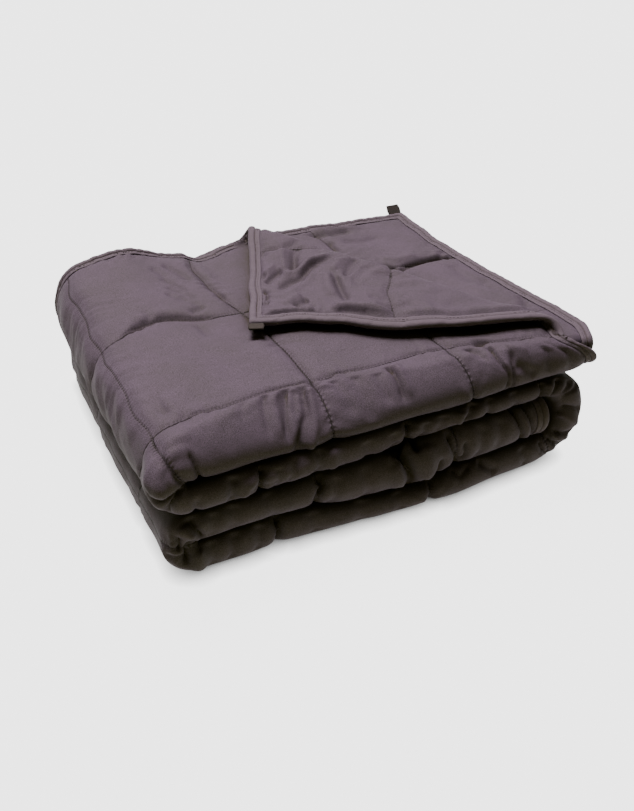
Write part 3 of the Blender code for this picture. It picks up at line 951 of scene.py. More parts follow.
@dataclass(frozen=True)
class WovenCotton:
    """Plain-woven brushed cotton, dyed in the piece.

    To the eye it is matt and even, with a faint bloom at grazing angles from its short fibres, a
    fine thread grid and a slightly heathered colour.
    """

    name: str
    colour: str
    shade: str
    # the sewn lines' colour: the dark joint, deepened with painted shade of its groove
    thread: str
    roughness: tuple[float, float] = (0.7, 0.82)
    gloss: float = 0.12
    sheen: float = 0.08
    sheen_roughness: float = 0.45
    # the soft spots of the dye, small and large
    heather_size: float = 0.769 * MM
    blotch_size: float = 45.5 * MM
    heather_share: float = 0.8
    tone_range: tuple[float, float] = (0.3, 0.7)
    # the real thread spacing is near 0.35 mm; it is drawn at 0.9 mm so that it shows
    thread_pitch: float = 0.9 * MM
    thread_depth: float = 0.05 * MM
    crumple_size: float = 30 * MM
    crumple_depth: float = 2.2 * MM
    # painted shade: the colour is darkened and tinted warm in the folds and between the layers, deeper
    # than the lighting alone gives
    fold_reach: float = 40 * MM
    fold_power: float = 1.6
    fold_shade: str = "#4A4428"
    painted_shade_tint: str = "#FFFB68"
    tint_range: tuple[float, float] = (0.74, 0.3)
    # the fibres' own faint gloss is warm, which shows where little else lights the cloth
    gloss_tint: str = "#F2FA88"
    seam_lines: bool = True
    square_size: float = 146 * MM
    stitch_pitch: float = 3.6 * MM
    seam_width: float = 1.1 * MM
    seam_core: float = 0.25
    seam_depth: float = 0.5 * MM
    seam_tone: float = 0.8
    gather_reach: float = 4.5 * MM
    gather_height: float = 0.3 * MM

    def build(self) -> bpy.types.Material:
        """Make the material.

        Returns:
            The material.
        """
        material = bpy.data.materials.new(self.name)
        material.use_nodes = True
        tree = NodeTree(material.node_tree)
        cloth = tree.add("UVMap", uv_map="cloth")
        place = tree.add("TexCoord").outputs["Object"]
        heather = tree.add("TexNoise", place, 1 / self.heather_size, links={"Detail": 1.0})
        blotch = tree.add("TexNoise", place, 1 / self.blotch_size, links={"Detail": 3.0})
        crumple = tree.add("TexNoise", place, 1 / self.crumple_size, links={
            "Detail": 2.0, "Roughness": 0.4, "Distortion": 0.5})
        tone = tree.add("Math", tree.add("Math", heather, self.heather_share, operation="MULTIPLY"),
                        tree.add("Math", blotch, 1 - self.heather_share, operation="MULTIPLY"),
                        operation="ADD")
        tone = tree.add("MapRange", tone, *self.tone_range)
        colour = tree.add("Mix", tone, linear_colour(self.shade), linear_colour(self.colour),
                          data_type="RGBA")
        relief = tree.add("Math", crumple, self.crumple_depth, operation="MULTIPLY")
        if self.seam_lines:
            line, ticks = self._sewing(tree, cloth)
            # the sewn lines: the joint's own dark, and painted shade in its groove
            colour = tree.add("Mix", line, colour, linear_colour(self.thread), data_type="RGBA")
            relief = tree.add("Math", relief, ticks, operation="ADD")
        threads = tree.add("Math", self._threads(tree, cloth), self.thread_depth,
                           operation="MULTIPLY")
        relief = tree.add("Math", relief, threads, operation="ADD")
        # painted shade: the folds' dark and warm tint are multiplied into the colour
        for layer in self._fold_shade(tree):
            colour = tree.add("Mix", 1.0, colour, layer, data_type="RGBA", blend_type="MULTIPLY")
        shader = tree.add("BsdfPrincipled", links={
            "Base Color": colour,
            "Roughness": tree.add("MapRange", blotch, 0.0, 1.0, *self.roughness),
            "Normal": tree.add("Bump", links={"Height": relief, "Strength": 1.0, "Distance": 1.0}),
            "Sheen Weight": self.sheen, "Sheen Roughness": self.sheen_roughness,
            "Sheen Tint": linear_colour(self.colour), "Specular IOR Level": self.gloss,
            "Specular Tint": linear_colour(self.gloss_tint)})
        tree.add("OutputMaterial", shader)
        return material

    def _fold_shade(self, tree: NodeTree) -> tuple[bpy.types.Node, bpy.types.Node]:
        """Paint shade into the folds and between the layers.

        Args:
            tree: The material's nodes.

        Returns:
            The painted dark and the painted warm tint that the colour is multiplied by.
        """
        white = linear_colour("#FFFFFF")
        open_sky = tree.add("AmbientOcclusion", links={"Distance": self.fold_reach}, samples=8,
                            only_local=True).outputs["AO"]
        bright = tree.add("Math", open_sky, self.fold_power, operation="POWER")
        dark = tree.add("Mix", bright, linear_colour(self.fold_shade), white, data_type="RGBA")
        depth = tree.add("MapRange", open_sky, *self.tint_range)
        return dark, tree.add("Mix", depth, white, linear_colour(self.painted_shade_tint), data_type="RGBA")

    def _threads(self, tree: NodeTree, cloth: bpy.types.Node) -> bpy.types.Node:
        """Draw the crossing threads.

        Args:
            tree: The material's nodes.
            cloth: The node that gives places on the flat cloth.

        Returns:
            Their height, from 0 to 1.
        """
        parts = tree.add("SeparateXYZ", cloth)
        turns = [tree.add("Math", parts.outputs[axis], 2 * math.pi / self.thread_pitch,
                          operation="MULTIPLY") for axis in (0, 1)]
        waves = [tree.add("Math", turn, operation="SINE") for turn in turns]
        grid = tree.add("Math", *waves, operation="MULTIPLY")
        return tree.add("Math", tree.add("Math", grid, 0.5, operation="MULTIPLY"), 0.5,
                        operation="ADD")

    def _sewing(self, tree: NodeTree,
                cloth: bpy.types.Node) -> tuple[bpy.types.Node, bpy.types.Node]:
        """Draw the sewn lines: the dark joint, with painted shade of its groove.

        Args:
            tree: The material's nodes.
            cloth: The node that gives places on the flat cloth.

        Returns:
            The mask of the lines, and the height of the tiny gathers beside them.
        """
        squares = tree.add("SeparateXYZ", tree.add("UVMap", uv_map="squares"))
        along = tree.add("SeparateXYZ", cloth)
        masks = []
        ticks = []
        for axis in (0, 1):
            off = tree.add("Math", squares.outputs[axis], 0.5, operation="PINGPONG")
            off = tree.add("Math", off, self.square_size, operation="MULTIPLY")
            masks.append(tree.add("MapRange", off, self.seam_core * self.seam_width, self.seam_width,
                                  1.0, 0.0, interpolation_type="SMOOTHSTEP"))
            near = tree.add("MapRange", off, 0.0, self.gather_reach, self.gather_height, 0.0,
                            interpolation_type="SMOOTHSTEP")
            turn = tree.add("Math", along.outputs[1 - axis], 2 * math.pi / self.stitch_pitch,
                            operation="MULTIPLY")
            wave = tree.add("Math", turn, operation="SINE")
            ticks.append(tree.add("Math", wave, near, operation="MULTIPLY"))
        drawn_in = tree.add("SeparateXYZ", tree.add("UVMap", uv_map="sewing"))
        line = tree.add("Math", *masks, operation="MAXIMUM")
        line = tree.add("Math", line, drawn_in, operation="MULTIPLY")
        gathers = tree.add("Math", *ticks, operation="ADD")
        gathers = tree.add("Math", gathers, drawn_in, operation="MULTIPLY")
        groove = tree.add("Math", line, -self.seam_depth, operation="MULTIPLY")
        return (tree.add("Math", line, self.seam_tone, operation="MULTIPLY"),
                tree.add("Math", gathers, groove, operation="ADD"))


# ---- pieces ---------------------------------------------------------------------------
@dataclass
class Piece:
    """A mesh that is made flat, folded, and set on the frame."""

    name: str
    node: Optional[str]
    slot: str
    fold: Fold
    material: bpy.types.Material

    def finish(self, mesh: bmesh.types.BMesh, flat: Floats,
               maps: dict[str, Callable[[Floats], Floats]]) -> bpy.types.Object:
        """Fold a flat mesh, give it its UV maps and set it on the frame.

        Args:
            mesh: The mesh, with its faces' sides right on the flat cloth.
            flat: (q, r, s) of each of its vertices.
            maps: For each UV map, the function of (q, r, s) that gives it.

        Returns:
            The new object.
        """
        data = bpy.data.meshes.new(self.name)
        mesh.to_mesh(data)
        mesh.free()
        data.vertices.foreach_set("co", self.fold.place(flat).ravel())
        corners = np.empty(len(data.loops), dtype=np.int64)
        data.loops.foreach_get("vertex_index", corners)
        for map_name, function in maps.items():
            layer = data.uv_layers.new(name=map_name)
            layer.data.foreach_set("uv", function(flat)[corners].ravel())
        data.materials.append(self.material)
        data.shade_smooth()
        data.update()
        obj = bpy.data.objects.new(self.name, data)
        bpy.context.scene.collection.objects.link(obj)
        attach(obj, "root")
        if self.node:
            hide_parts(self.node)
        data.calc_loop_triangles()
        LOG.info("%s: %d triangles", self.name, len(data.loop_triangles))
        return obj


def cloth_map(flat: Floats) -> Floats:
    """Return the places on the flat cloth, in metres."""
    return flat[:, :2]


@dataclass(frozen=True)
class Patch:
    """A part of one face of the flat cloth whose mesh is halved a number of times."""

    side: Side
    q: tuple[float, float]
    r: tuple[float, float]
    halvings: int

    def holds(self, q: float, r: float, side: int) -> bool:
        """Return whether a flat point lies in it."""
        return side == self.side.value and self.q[0] <= q <= self.q[1] and self.r[0] <= r <= self.r[1]


@dataclass
class QuiltedCloth(Piece):
    """The quilted cloth: both faces, with a fine mesh where it shows."""

    quilting: Quilting = field(kw_only=True)
    spacing: float = 24 * MM
    hidden_spacing: float = 36 * MM

    def _lines(self, seams: Sequence[float], length: float, hidden: tuple[float, float]) -> list[float]:
        """Find the mesh lines one way of the cloth.

        Args:
            seams: Places of the seams.
            length: The cloth's length.
            hidden: Between which places the cloth is hidden and its lines stand wider.

        Returns:
            The ends, the binding's edge, the seams, and lines between them.
        """
        width = self.quilting.binding_width
        ends = [width, *seams, length - width]
        lines = [0.0, width / 2, *ends, length - width / 2, length]
        for start, end in zip(ends, ends[1:]):
            is_hidden = hidden[0] < start and end < hidden[1]
            spacing = self.hidden_spacing if is_hidden else self.spacing
            lines += list(np.linspace(start, end, max(round((end - start) / spacing), 1) + 1))
        return sorted(set(np.round(lines, 6)))

    def _patches(self) -> list[Patch]:
        """List the parts of the cloth that show.

        Returns:
            The parts, in metres, each with how often its mesh is halved.
        """
        q = self.fold.path.starts
        r = self.fold.section.starts
        reach = 40 * MM
        second = r["L2"]
        return [
            Patch(Side.OUTER, (0.235, q["B"]), (0, r["front"]), 3),
            Patch(Side.OUTER, (0, 0.235), (0.25, r["front"]), 3),
            Patch(Side.OUTER, (0.235, q["B"] + reach), (0, r["L4"] + reach), 2),
            Patch(Side.OUTER, (0, 0.235), (0.25, r["L4"] + reach), 2),
            Patch(Side.OUTER, (0, q["end"]), (r["front"] - 0.01, r["L4"]), 3),
            Patch(Side.OUTER, (0.06, 0.135), (0.335, 0.394), 4),
            Patch(Side.OUTER, (0.2, 0.35), (0.325, 0.394), 4),
            Patch(Side.OUTER, (0.41, q["end"]), (0.354, 0.394), 4),
            Patch(Side.OUTER, (0, q["end"]), (r["front"] - reach, r["L4"] + reach), 1),
            Patch(Side.OUTER, (q["BD"] - reach, q["D"] + reach), (r["L4"], r["L3"] + reach), 2),
            Patch(Side.OUTER, (q["DC"] - reach, q["C"] + reach), (r["L4"], r["L3"] + reach), 2),
            Patch(Side.OUTER, (0, q["end"]), (r["back"] - 0.01, r["L3"] + 0.01), 2),
            Patch(Side.INNER, (0, 0.27), (0, 0.345), 3),
            Patch(Side.INNER, (0.01, 0.13), (0.01, 0.14), 4),
            Patch(Side.INNER, (0, 0.35), (0, r["front"]), 1),
            Patch(Side.INNER, (0, 0.11), (second, r["end"]), 3),
            Patch(Side.INNER, (0.11, 0.17), (second + 0.11, r["end"]), 3),
            Patch(Side.INNER, (0.17, 0.26), (second + 0.22, r["end"]), 3),
            Patch(Side.INNER, (0.01, 0.115), (1.335, 1.385), 4),
        ]

    def build(self) -> bpy.types.Object:
        """Make the cloth.

        Returns:
            One closed mesh.
        """
        hidden = (self.fold.section.starts["L4"], self.fold.section.starts["L2"])
        lines_q = self._lines(self.quilting.seams_q, self.fold.length_q, (math.inf, math.inf))
        lines_r = self._lines(self.quilting.seams_r, self.fold.length_r, hidden)
        mesh = bmesh.new()
        bmesh.ops.create_grid(mesh, x_segments=len(lines_q) - 1, y_segments=len(lines_r) - 1, size=0.5)
        for vert in mesh.verts:
            column = round((vert.co.x + 0.5) * (len(lines_q) - 1))
            row = round((vert.co.y + 0.5) * (len(lines_r) - 1))
            vert.co = (lines_q[column], lines_r[row], Side.INNER.value)
        upper = bmesh.ops.extrude_face_region(mesh, geom=mesh.faces[:])["geom"]
        for item in upper:
            if isinstance(item, bmesh.types.BMVert):
                item.co.z = Side.OUTER.value
        self._refine(mesh)
        bmesh.ops.triangulate(mesh, faces=[face for face in mesh.faces if len(face.verts) > 4])
        bmesh.ops.recalc_face_normals(mesh, faces=mesh.faces[:])
        flat = np.array([vert.co[:] for vert in mesh.verts])
        q, r, side = flat.T
        outer = self.quilting.half_thickness(q, r, Side.OUTER)
        inner = self.quilting.half_thickness(q, r, Side.INNER)
        flat[:, 2] = np.where(side > 0, outer, -inner)
        return self.finish(mesh, flat, {
            "cloth": cloth_map, "squares": self.quilting.squares, "sewing": self.quilting.tightness})

    def _refine(self, mesh: bmesh.types.BMesh) -> None:
        """Halve the faces that show, as often as their patch says.

        Args:
            mesh: The flat cloth's mesh.
        """
        patches = self._patches()
        for level in range(max(patch.halvings for patch in patches)):
            wanted = [patch for patch in patches if patch.halvings > level]
            edges: dict[bmesh.types.BMEdge, None] = {}
            for face in mesh.faces:
                q, r, side = face.calc_center_median()
                if abs(side) > 0.99 and any(patch.holds(q, r, round(side)) for patch in wanted):
                    edges.update(dict.fromkeys(face.edges))
            bmesh.ops.subdivide_edges(mesh, edges=list(edges), cuts=1, use_grid_fill=True)


@dataclass
class EdgeBinding(Piece):
    """The rolled edge and stitched strip that bind the cloth all the way round."""

    spacing: float = 3.2 * MM
    corner_reach: float = 60 * MM
    gap: float = 0.55 * MM
    # the upper half of its outline: (distance in from the cloth's edge, height), in millimetres
    outline: tuple[tuple[float, float], ...] = (
        (12.0, 1.9), (11.6, 2.15), (10.9, 2.35), (9.6, 2.45), (8.3, 2.25), (7.0, 2.45), (6.4, 2.3),
        (5.9, 1.95), (5.5, 1.95), (5.1, 2.5), (4.3, 2.95), (2.9, 3.2), (1.3, 3.25), (-0.2, 3.0),
        (-1.5, 2.4), (-2.3, 1.3),
    )
    slot_half: float = 1.85
    overhang: float = 2.6
    # (length, phase) of the waves that its sewing gathers it in, how they lean and how far they swell it
    gathers: tuple[tuple[float, float], ...] = (
        (9.7 * MM, 0.4), (14.1 * MM, 2.2), (23.3 * MM, 4.0), (57 * MM, 1.0))
    gather_lean: float = 0.4
    gather_swell: float = 0.055

    def _ring(self) -> Floats:
        """Close the outline.

        Returns:
            Its (inward, s) rows, in metres.
        """
        upper = [*self.outline, (-self.overhang, 0.0)]
        lower = [(inward, -height) for inward, height in reversed(self.outline)]
        inner = [(12.0, -self.slot_half), (-self.gap / MM, -self.slot_half),
                 (-self.gap / MM, self.slot_half), (12.0, self.slot_half)]
        return np.array([*upper, *lower, *inner]) * MM

    def edge_point(self, edge: Edge, share: Floats, inward: Floats) -> tuple[Floats, Floats]:
        """Find places beside one edge, mitred at its corners.

        Args:
            edge: The edge.
            share: How far along it they are, from 0 to 1.
            inward: How far in from it they are.

        Returns:
            Their q and r.
        """
        q_end, r_end = self.fold.length_q, self.fold.length_r
        length = r_end if edge in (Edge.START, Edge.END) else q_end
        near = np.clip(1 - share * length / self.corner_reach, 0, 1)
        far = np.clip(1 - (1 - share) * length / self.corner_reach, 0, 1)
        along = share * length + inward * (near - far)
        if edge is Edge.NEAR:
            return along, inward
        if edge is Edge.END:
            return q_end - inward, along
        if edge is Edge.FAR:
            return q_end - along, r_end - inward
        return inward, r_end - along

    def build(self) -> bpy.types.Object:
        """Make the binding.

        Returns:
            One closed ring.
        """
        ring = self._ring()
        order = (Edge.NEAR, Edge.END, Edge.FAR, Edge.START)
        lengths = [self.fold.length_q, self.fold.length_r] * 2
        counts = [round(length / self.spacing) for length in lengths]
        mesh = bmesh.new()
        bmesh.ops.create_grid(mesh, x_segments=sum(counts), y_segments=len(ring), size=0.5)
        grid = np.array([vert.co[:] for vert in mesh.verts])
        station = np.rint((grid[:, 0] + 0.5) * sum(counts)).astype(int) % sum(counts)
        spot = np.rint((grid[:, 1] + 0.5) * len(ring)).astype(int) % len(ring)
        inward, s = ring[spot].T
        flat = np.zeros_like(grid)
        first = 0
        for edge, count in zip(order, counts):
            here = (station >= first) & (station < first + count)
            share = (station[here] - first) / count
            flat[here, 0], flat[here, 1] = self.edge_point(edge, share, inward[here])
            first += count
        flat[:, 2] = s
        flat = self._gathered(flat, station * self.spacing, inward)
        for vert, co in zip(mesh.verts, flat):
            vert.co = co
        bmesh.ops.remove_doubles(mesh, verts=mesh.verts[:], dist=1e-6)
        bmesh.ops.recalc_face_normals(mesh, faces=mesh.faces[:])
        flat = np.array([vert.co[:] for vert in mesh.verts])
        return self.finish(mesh, flat, {"cloth": cloth_map})

    def _gathered(self, flat: Floats, along: Floats, inward: Floats) -> Floats:
        """Add the small gathers of the sewing.

        Args:
            flat: The ring's (q, r, s) points.
            along: How far round the cloth each of them is.
            inward: How far in from the edge each of them is.

        Returns:
            The same points, with the gathers.
        """
        outside = np.abs(flat[:, 2]) > self.slot_half * MM + 1e-6
        waves = np.zeros_like(along)
        for length, phase in self.gathers:
            waves += np.sin(2 * math.pi * (along + self.gather_lean * inward) / length + phase)
        swell = 1 + self.gather_swell * waves * outside
        flat[:, 2] = np.where(outside, np.maximum(np.abs(flat[:, 2]) * swell, self.slot_half * MM)
                              * np.sign(flat[:, 2]), flat[:, 2])
        return flat


@dataclass(frozen=True)
class StitchRun:
    """A straight run of stitches on the flat cloth."""

    side: Side
    start: tuple[float, float]
    end: tuple[float, float]


@dataclass
class Stitches(Piece):
    """Lock stitches: short lengths of thread that dip into the cloth at both ends."""

    height: Callable[[Floats, Floats, Side], Floats] = field(kw_only=True)
    runs: Sequence[StitchRun] = field(kw_only=True)
    pitch: float = 3.6 * MM
    length: float = 2.6 * MM
    thickness: float = 0.55 * MM

    def build(self) -> bpy.types.Object:
        """Make the stitches.

        Returns:
            Every stitch in one mesh.
        """
        places = [self._places(run) for run in self.runs]
        centres = np.concatenate([place[0] for place in places])
        ways = np.concatenate([place[1] for place in places])
        sides = np.concatenate([place[2] for place in places])
        one = bpy.data.meshes.new("stitch")
        seed = bmesh.new()
        bmesh.ops.create_uvsphere(seed, u_segments=6, v_segments=4, radius=1)
        bmesh.ops.rotate(seed, verts=seed.verts[:], matrix=Matrix.Rotation(math.pi / 2, 3, "Y"))
        shape = np.array([vert.co[:] for vert in seed.verts])
        seed.to_mesh(one)
        seed.free()
        mesh = bmesh.new()
        for _ in range(len(centres)):
            mesh.from_mesh(one)
        bpy.data.meshes.remove(one)
        slim = self.thickness / self.length
        along = np.outer(ways[:, 0], shape[:, 0]) - np.outer(ways[:, 1], shape[:, 1]) * slim
        across = np.outer(ways[:, 1], shape[:, 0]) + np.outer(ways[:, 0], shape[:, 1]) * slim
        q = centres[:, :1] + along * self.length / 2
        r = centres[:, 1:] + across * self.length / 2
        side = np.repeat(sides[:, None], len(shape), axis=1)
        outer = self.height(q.ravel(), r.ravel(), Side.OUTER)
        inner = self.height(q.ravel(), r.ravel(), Side.INNER)
        lift = np.tile(shape[:, 2], len(centres)) * self.thickness / 2
        s = np.where(side.ravel() > 0, outer, -inner) + lift
        flat = np.stack((q.ravel(), r.ravel(), s), axis=1)
        return self.finish(mesh, flat, {"cloth": cloth_map})

    def _places(self, run: StitchRun) -> tuple[Floats, Floats, Floats]:
        """Place the stitches of one run.

        Args:
            run: The run.

        Returns:
            Their centres, their directions and their sides.
        """
        start, end = np.array(run.start), np.array(run.end)
        length = float(np.hypot(*(end - start)))
        count = max(int(length / self.pitch), 1)
        shares = (np.arange(count) + 0.5) / count
        centres = start + np.outer(shares, end - start)
        ways = np.tile((end - start) / length, (count, 1))
        return centres, ways, np.full(count, float(run.side.value))


@dataclass
class CornerTab(Piece):
    """A length of tape folded in half, its two ends sewn into the binding at a corner."""

    turn: float = field(kw_only=True)
    corner: tuple[float, float] = field(kw_only=True)
    lift: float = field(kw_only=True)
    width: float = 17 * MM
    length: float = 11 * MM
    start: float = 2.9 * MM
    overhang: float = 2.6 * MM
    half_thickness: float = 1.2 * MM
    tape_thickness: float = 0.8 * MM
    pinch: float = 0.06
    steps: tuple[int, int] = (26, 10)

    @staticmethod
    def flat_place(turn: float, corner: tuple[float, float], side: float,
                   reach: float) -> tuple[float, float]:
        """Return q and r of a point, from its place beside the tab's middle and past the edge."""
        return (corner[0] + side * math.cos(turn) - reach * math.sin(turn),
                corner[1] - side * math.sin(turn) - reach * math.cos(turn))

    def build(self) -> bpy.types.Object:
        """Make the folded tape.

        Returns:
            The tape.
        """
        mesh = bmesh.new()
        bmesh.ops.create_grid(mesh, x_segments=self.steps[0], y_segments=self.steps[1], size=0.5)
        radius = self.half_thickness - self.tape_thickness / 2
        straight = self.length - self.half_thickness
        total = 2 * straight + math.pi * radius
        for vert in mesh.verts:
            way = (vert.co.x + 0.5) * total
            across = vert.co.y
            if way < straight:
                out, up = way, radius
            elif way > total - straight:
                out, up = total - way, -radius
            else:
                angle = (way - straight) / radius
                out, up = straight + radius * math.sin(angle), radius * math.cos(angle)
            pinch = 1 - self.pinch * math.cos(4 * math.pi * way / total)
            q, r = self.flat_place(self.turn, self.corner, self.width * across * pinch, self.start + out)
            vert.co = (q, r, up + self.lift * out / self.length)
        geometry = [*mesh.faces, *mesh.edges, *mesh.verts]
        bmesh.ops.solidify(mesh, geom=geometry, thickness=self.tape_thickness / 2)
        bmesh.ops.recalc_face_normals(mesh, faces=mesh.faces[:])
        flat = np.array([vert.co[:] for vert in mesh.verts])
        return self.finish(mesh, flat, {"cloth": cloth_map})


# ---- the studio -----------------------------------------------------------------------
@dataclass(frozen=True)
class Studio:
    """A pale floor, soft light from above and behind, and the camera."""

    camera_place: Vec3 = (-0.43717, -0.87086, 0.6345)
    camera_way: Vec3 = (0.38822, 0.74971, -0.53593)
    focal_length: float = 47.473
    sensor_height: float = 36.0
    floor_colour: str = "#3C3C3C"
    floor_roughness: float = 0.95
    floor_gloss: float = 0.1
    floor_glow: float = 3.3
    floor_size: float = 30.0
    # a plain backdrop stands far round the floor
    backdrop_glow: float = 3.45
    backdrop_radius: float = 14.0
    # painted contact shadow: the floor's glow is dimmed where the object stands close over it
    painted_contact_shadow_reach: float = 16 * MM
    painted_contact_shadow_power: float = 1.3
    key_way: Vec3 = (0.01, -0.46, -1.0)
    key_strength: float = 11.4
    key_angle: float = math.radians(30)
    key_colour: str = "#FFF6FF"
    # the dark studio: dim and warm from above and round about, a little paler from below
    sky_colour: str = "#FFF6A8"
    low_sky_colour: str = "#FFF8C0"
    sky_strength: float = 0.2
    low_sky_strength: float = 0.78
    sky_range: tuple[float, float] = (-0.5, 0.1)

    def build(self) -> None:
        """Add the floor, the backdrop, the lights and the camera."""
        self._surfaces()
        self._key()
        self._sky()
        self._camera()

    def _surfaces(self) -> None:
        """Add the floor and the backdrop, which stays out of shadows and reflections."""
        ground = bmesh.new()
        bmesh.ops.create_grid(ground, x_segments=1, y_segments=1, size=self.floor_size / 2)
        self._plain("floor", "glowing_floor_painted_contact_shadow", ground, self.floor_glow)
        dome = bmesh.new()
        bmesh.ops.create_uvsphere(dome, u_segments=64, v_segments=32, radius=self.backdrop_radius)
        backdrop = self._plain("backdrop", "matt_painted_backdrop", dome, self.backdrop_glow)
        backdrop.visible_glossy = False
        backdrop.visible_shadow = False

    def _key(self) -> None:
        """Add the broad soft light that comes from above and from a little behind the object."""
        light = bpy.data.lights.new("key", "SUN")
        light.energy = self.key_strength
        light.angle = self.key_angle
        light.color = linear_colour(self.key_colour)[:3]
        lamp = bpy.data.objects.new("key", light)
        lamp.rotation_euler = Vector(self.key_way).to_track_quat("-Z", "Y").to_euler()
        bpy.context.scene.collection.objects.link(lamp)

    def _sky(self) -> None:
        """Add the dim light from round about, which changes from low down to above."""
        world = bpy.data.worlds.new("soft_sky")
        world.use_nodes = True
        sky = NodeTree(world.node_tree)
        way = sky.add("SeparateXYZ", sky.add("TexCoord").outputs["Generated"])
        share = sky.add("MapRange", way.outputs["Z"], *self.sky_range)
        colour = sky.add("Mix", share, linear_colour(self.low_sky_colour),
                         linear_colour(self.sky_colour), data_type="RGBA")
        strength = sky.add("MapRange", way.outputs["Z"], *self.sky_range,
                           self.low_sky_strength, self.sky_strength)
        sky.add("OutputWorld", sky.add("Background", colour, strength))
        bpy.context.scene.world = world

    def _camera(self) -> None:
        """Add the camera."""
        camera = bpy.data.cameras.new("camera")
        camera.sensor_fit = "VERTICAL"
        camera.sensor_height = self.sensor_height
        camera.lens = self.focal_length
        eye = bpy.data.objects.new("camera", camera)
        eye.location = self.camera_place
        eye.rotation_euler = Vector(self.camera_way).to_track_quat("-Z", "Y").to_euler()
        bpy.context.scene.collection.objects.link(eye)
        bpy.context.scene.camera = eye

    def _plain(self, name: str, finish: str, mesh: bmesh.types.BMesh,
               brightness: float) -> bpy.types.Object:
        """Add a pale, evenly glowing surface that sheds no light on the object, with painted contact
        shadow.

        Args:
            name: The surface's name.
            finish: Its material's name.
            mesh: Its shape.
            brightness: How brightly it glows where nothing stands close.

        Returns:
            The new object.
        """
        data = bpy.data.meshes.new(name)
        mesh.to_mesh(data)
        mesh.free()
        material = bpy.data.materials.new(finish)
        material.use_nodes = True
        tree = NodeTree(material.node_tree)
        # painted contact shadow: the glow is dimmed where the object stands close
        open_sky = tree.add("AmbientOcclusion", links={"Distance": self.painted_contact_shadow_reach},
                            samples=16).outputs["AO"]
        glow = tree.add("Math", tree.add("Math", open_sky, self.painted_contact_shadow_power, operation="POWER"),
                        brightness, operation="MULTIPLY")
        shader = tree.add("BsdfPrincipled", links={
            "Base Color": linear_colour(self.floor_colour), "Roughness": self.floor_roughness,
            "Specular IOR Level": self.floor_gloss,
            "Emission Color": linear_colour("#FFFFFF"), "Emission Strength": glow})
        tree.add("OutputMaterial", shader)
        data.materials.append(material)
        surface = bpy.data.objects.new(name, data)
        bpy.context.scene.collection.objects.link(surface)
        surface.visible_diffuse = False
        return surface


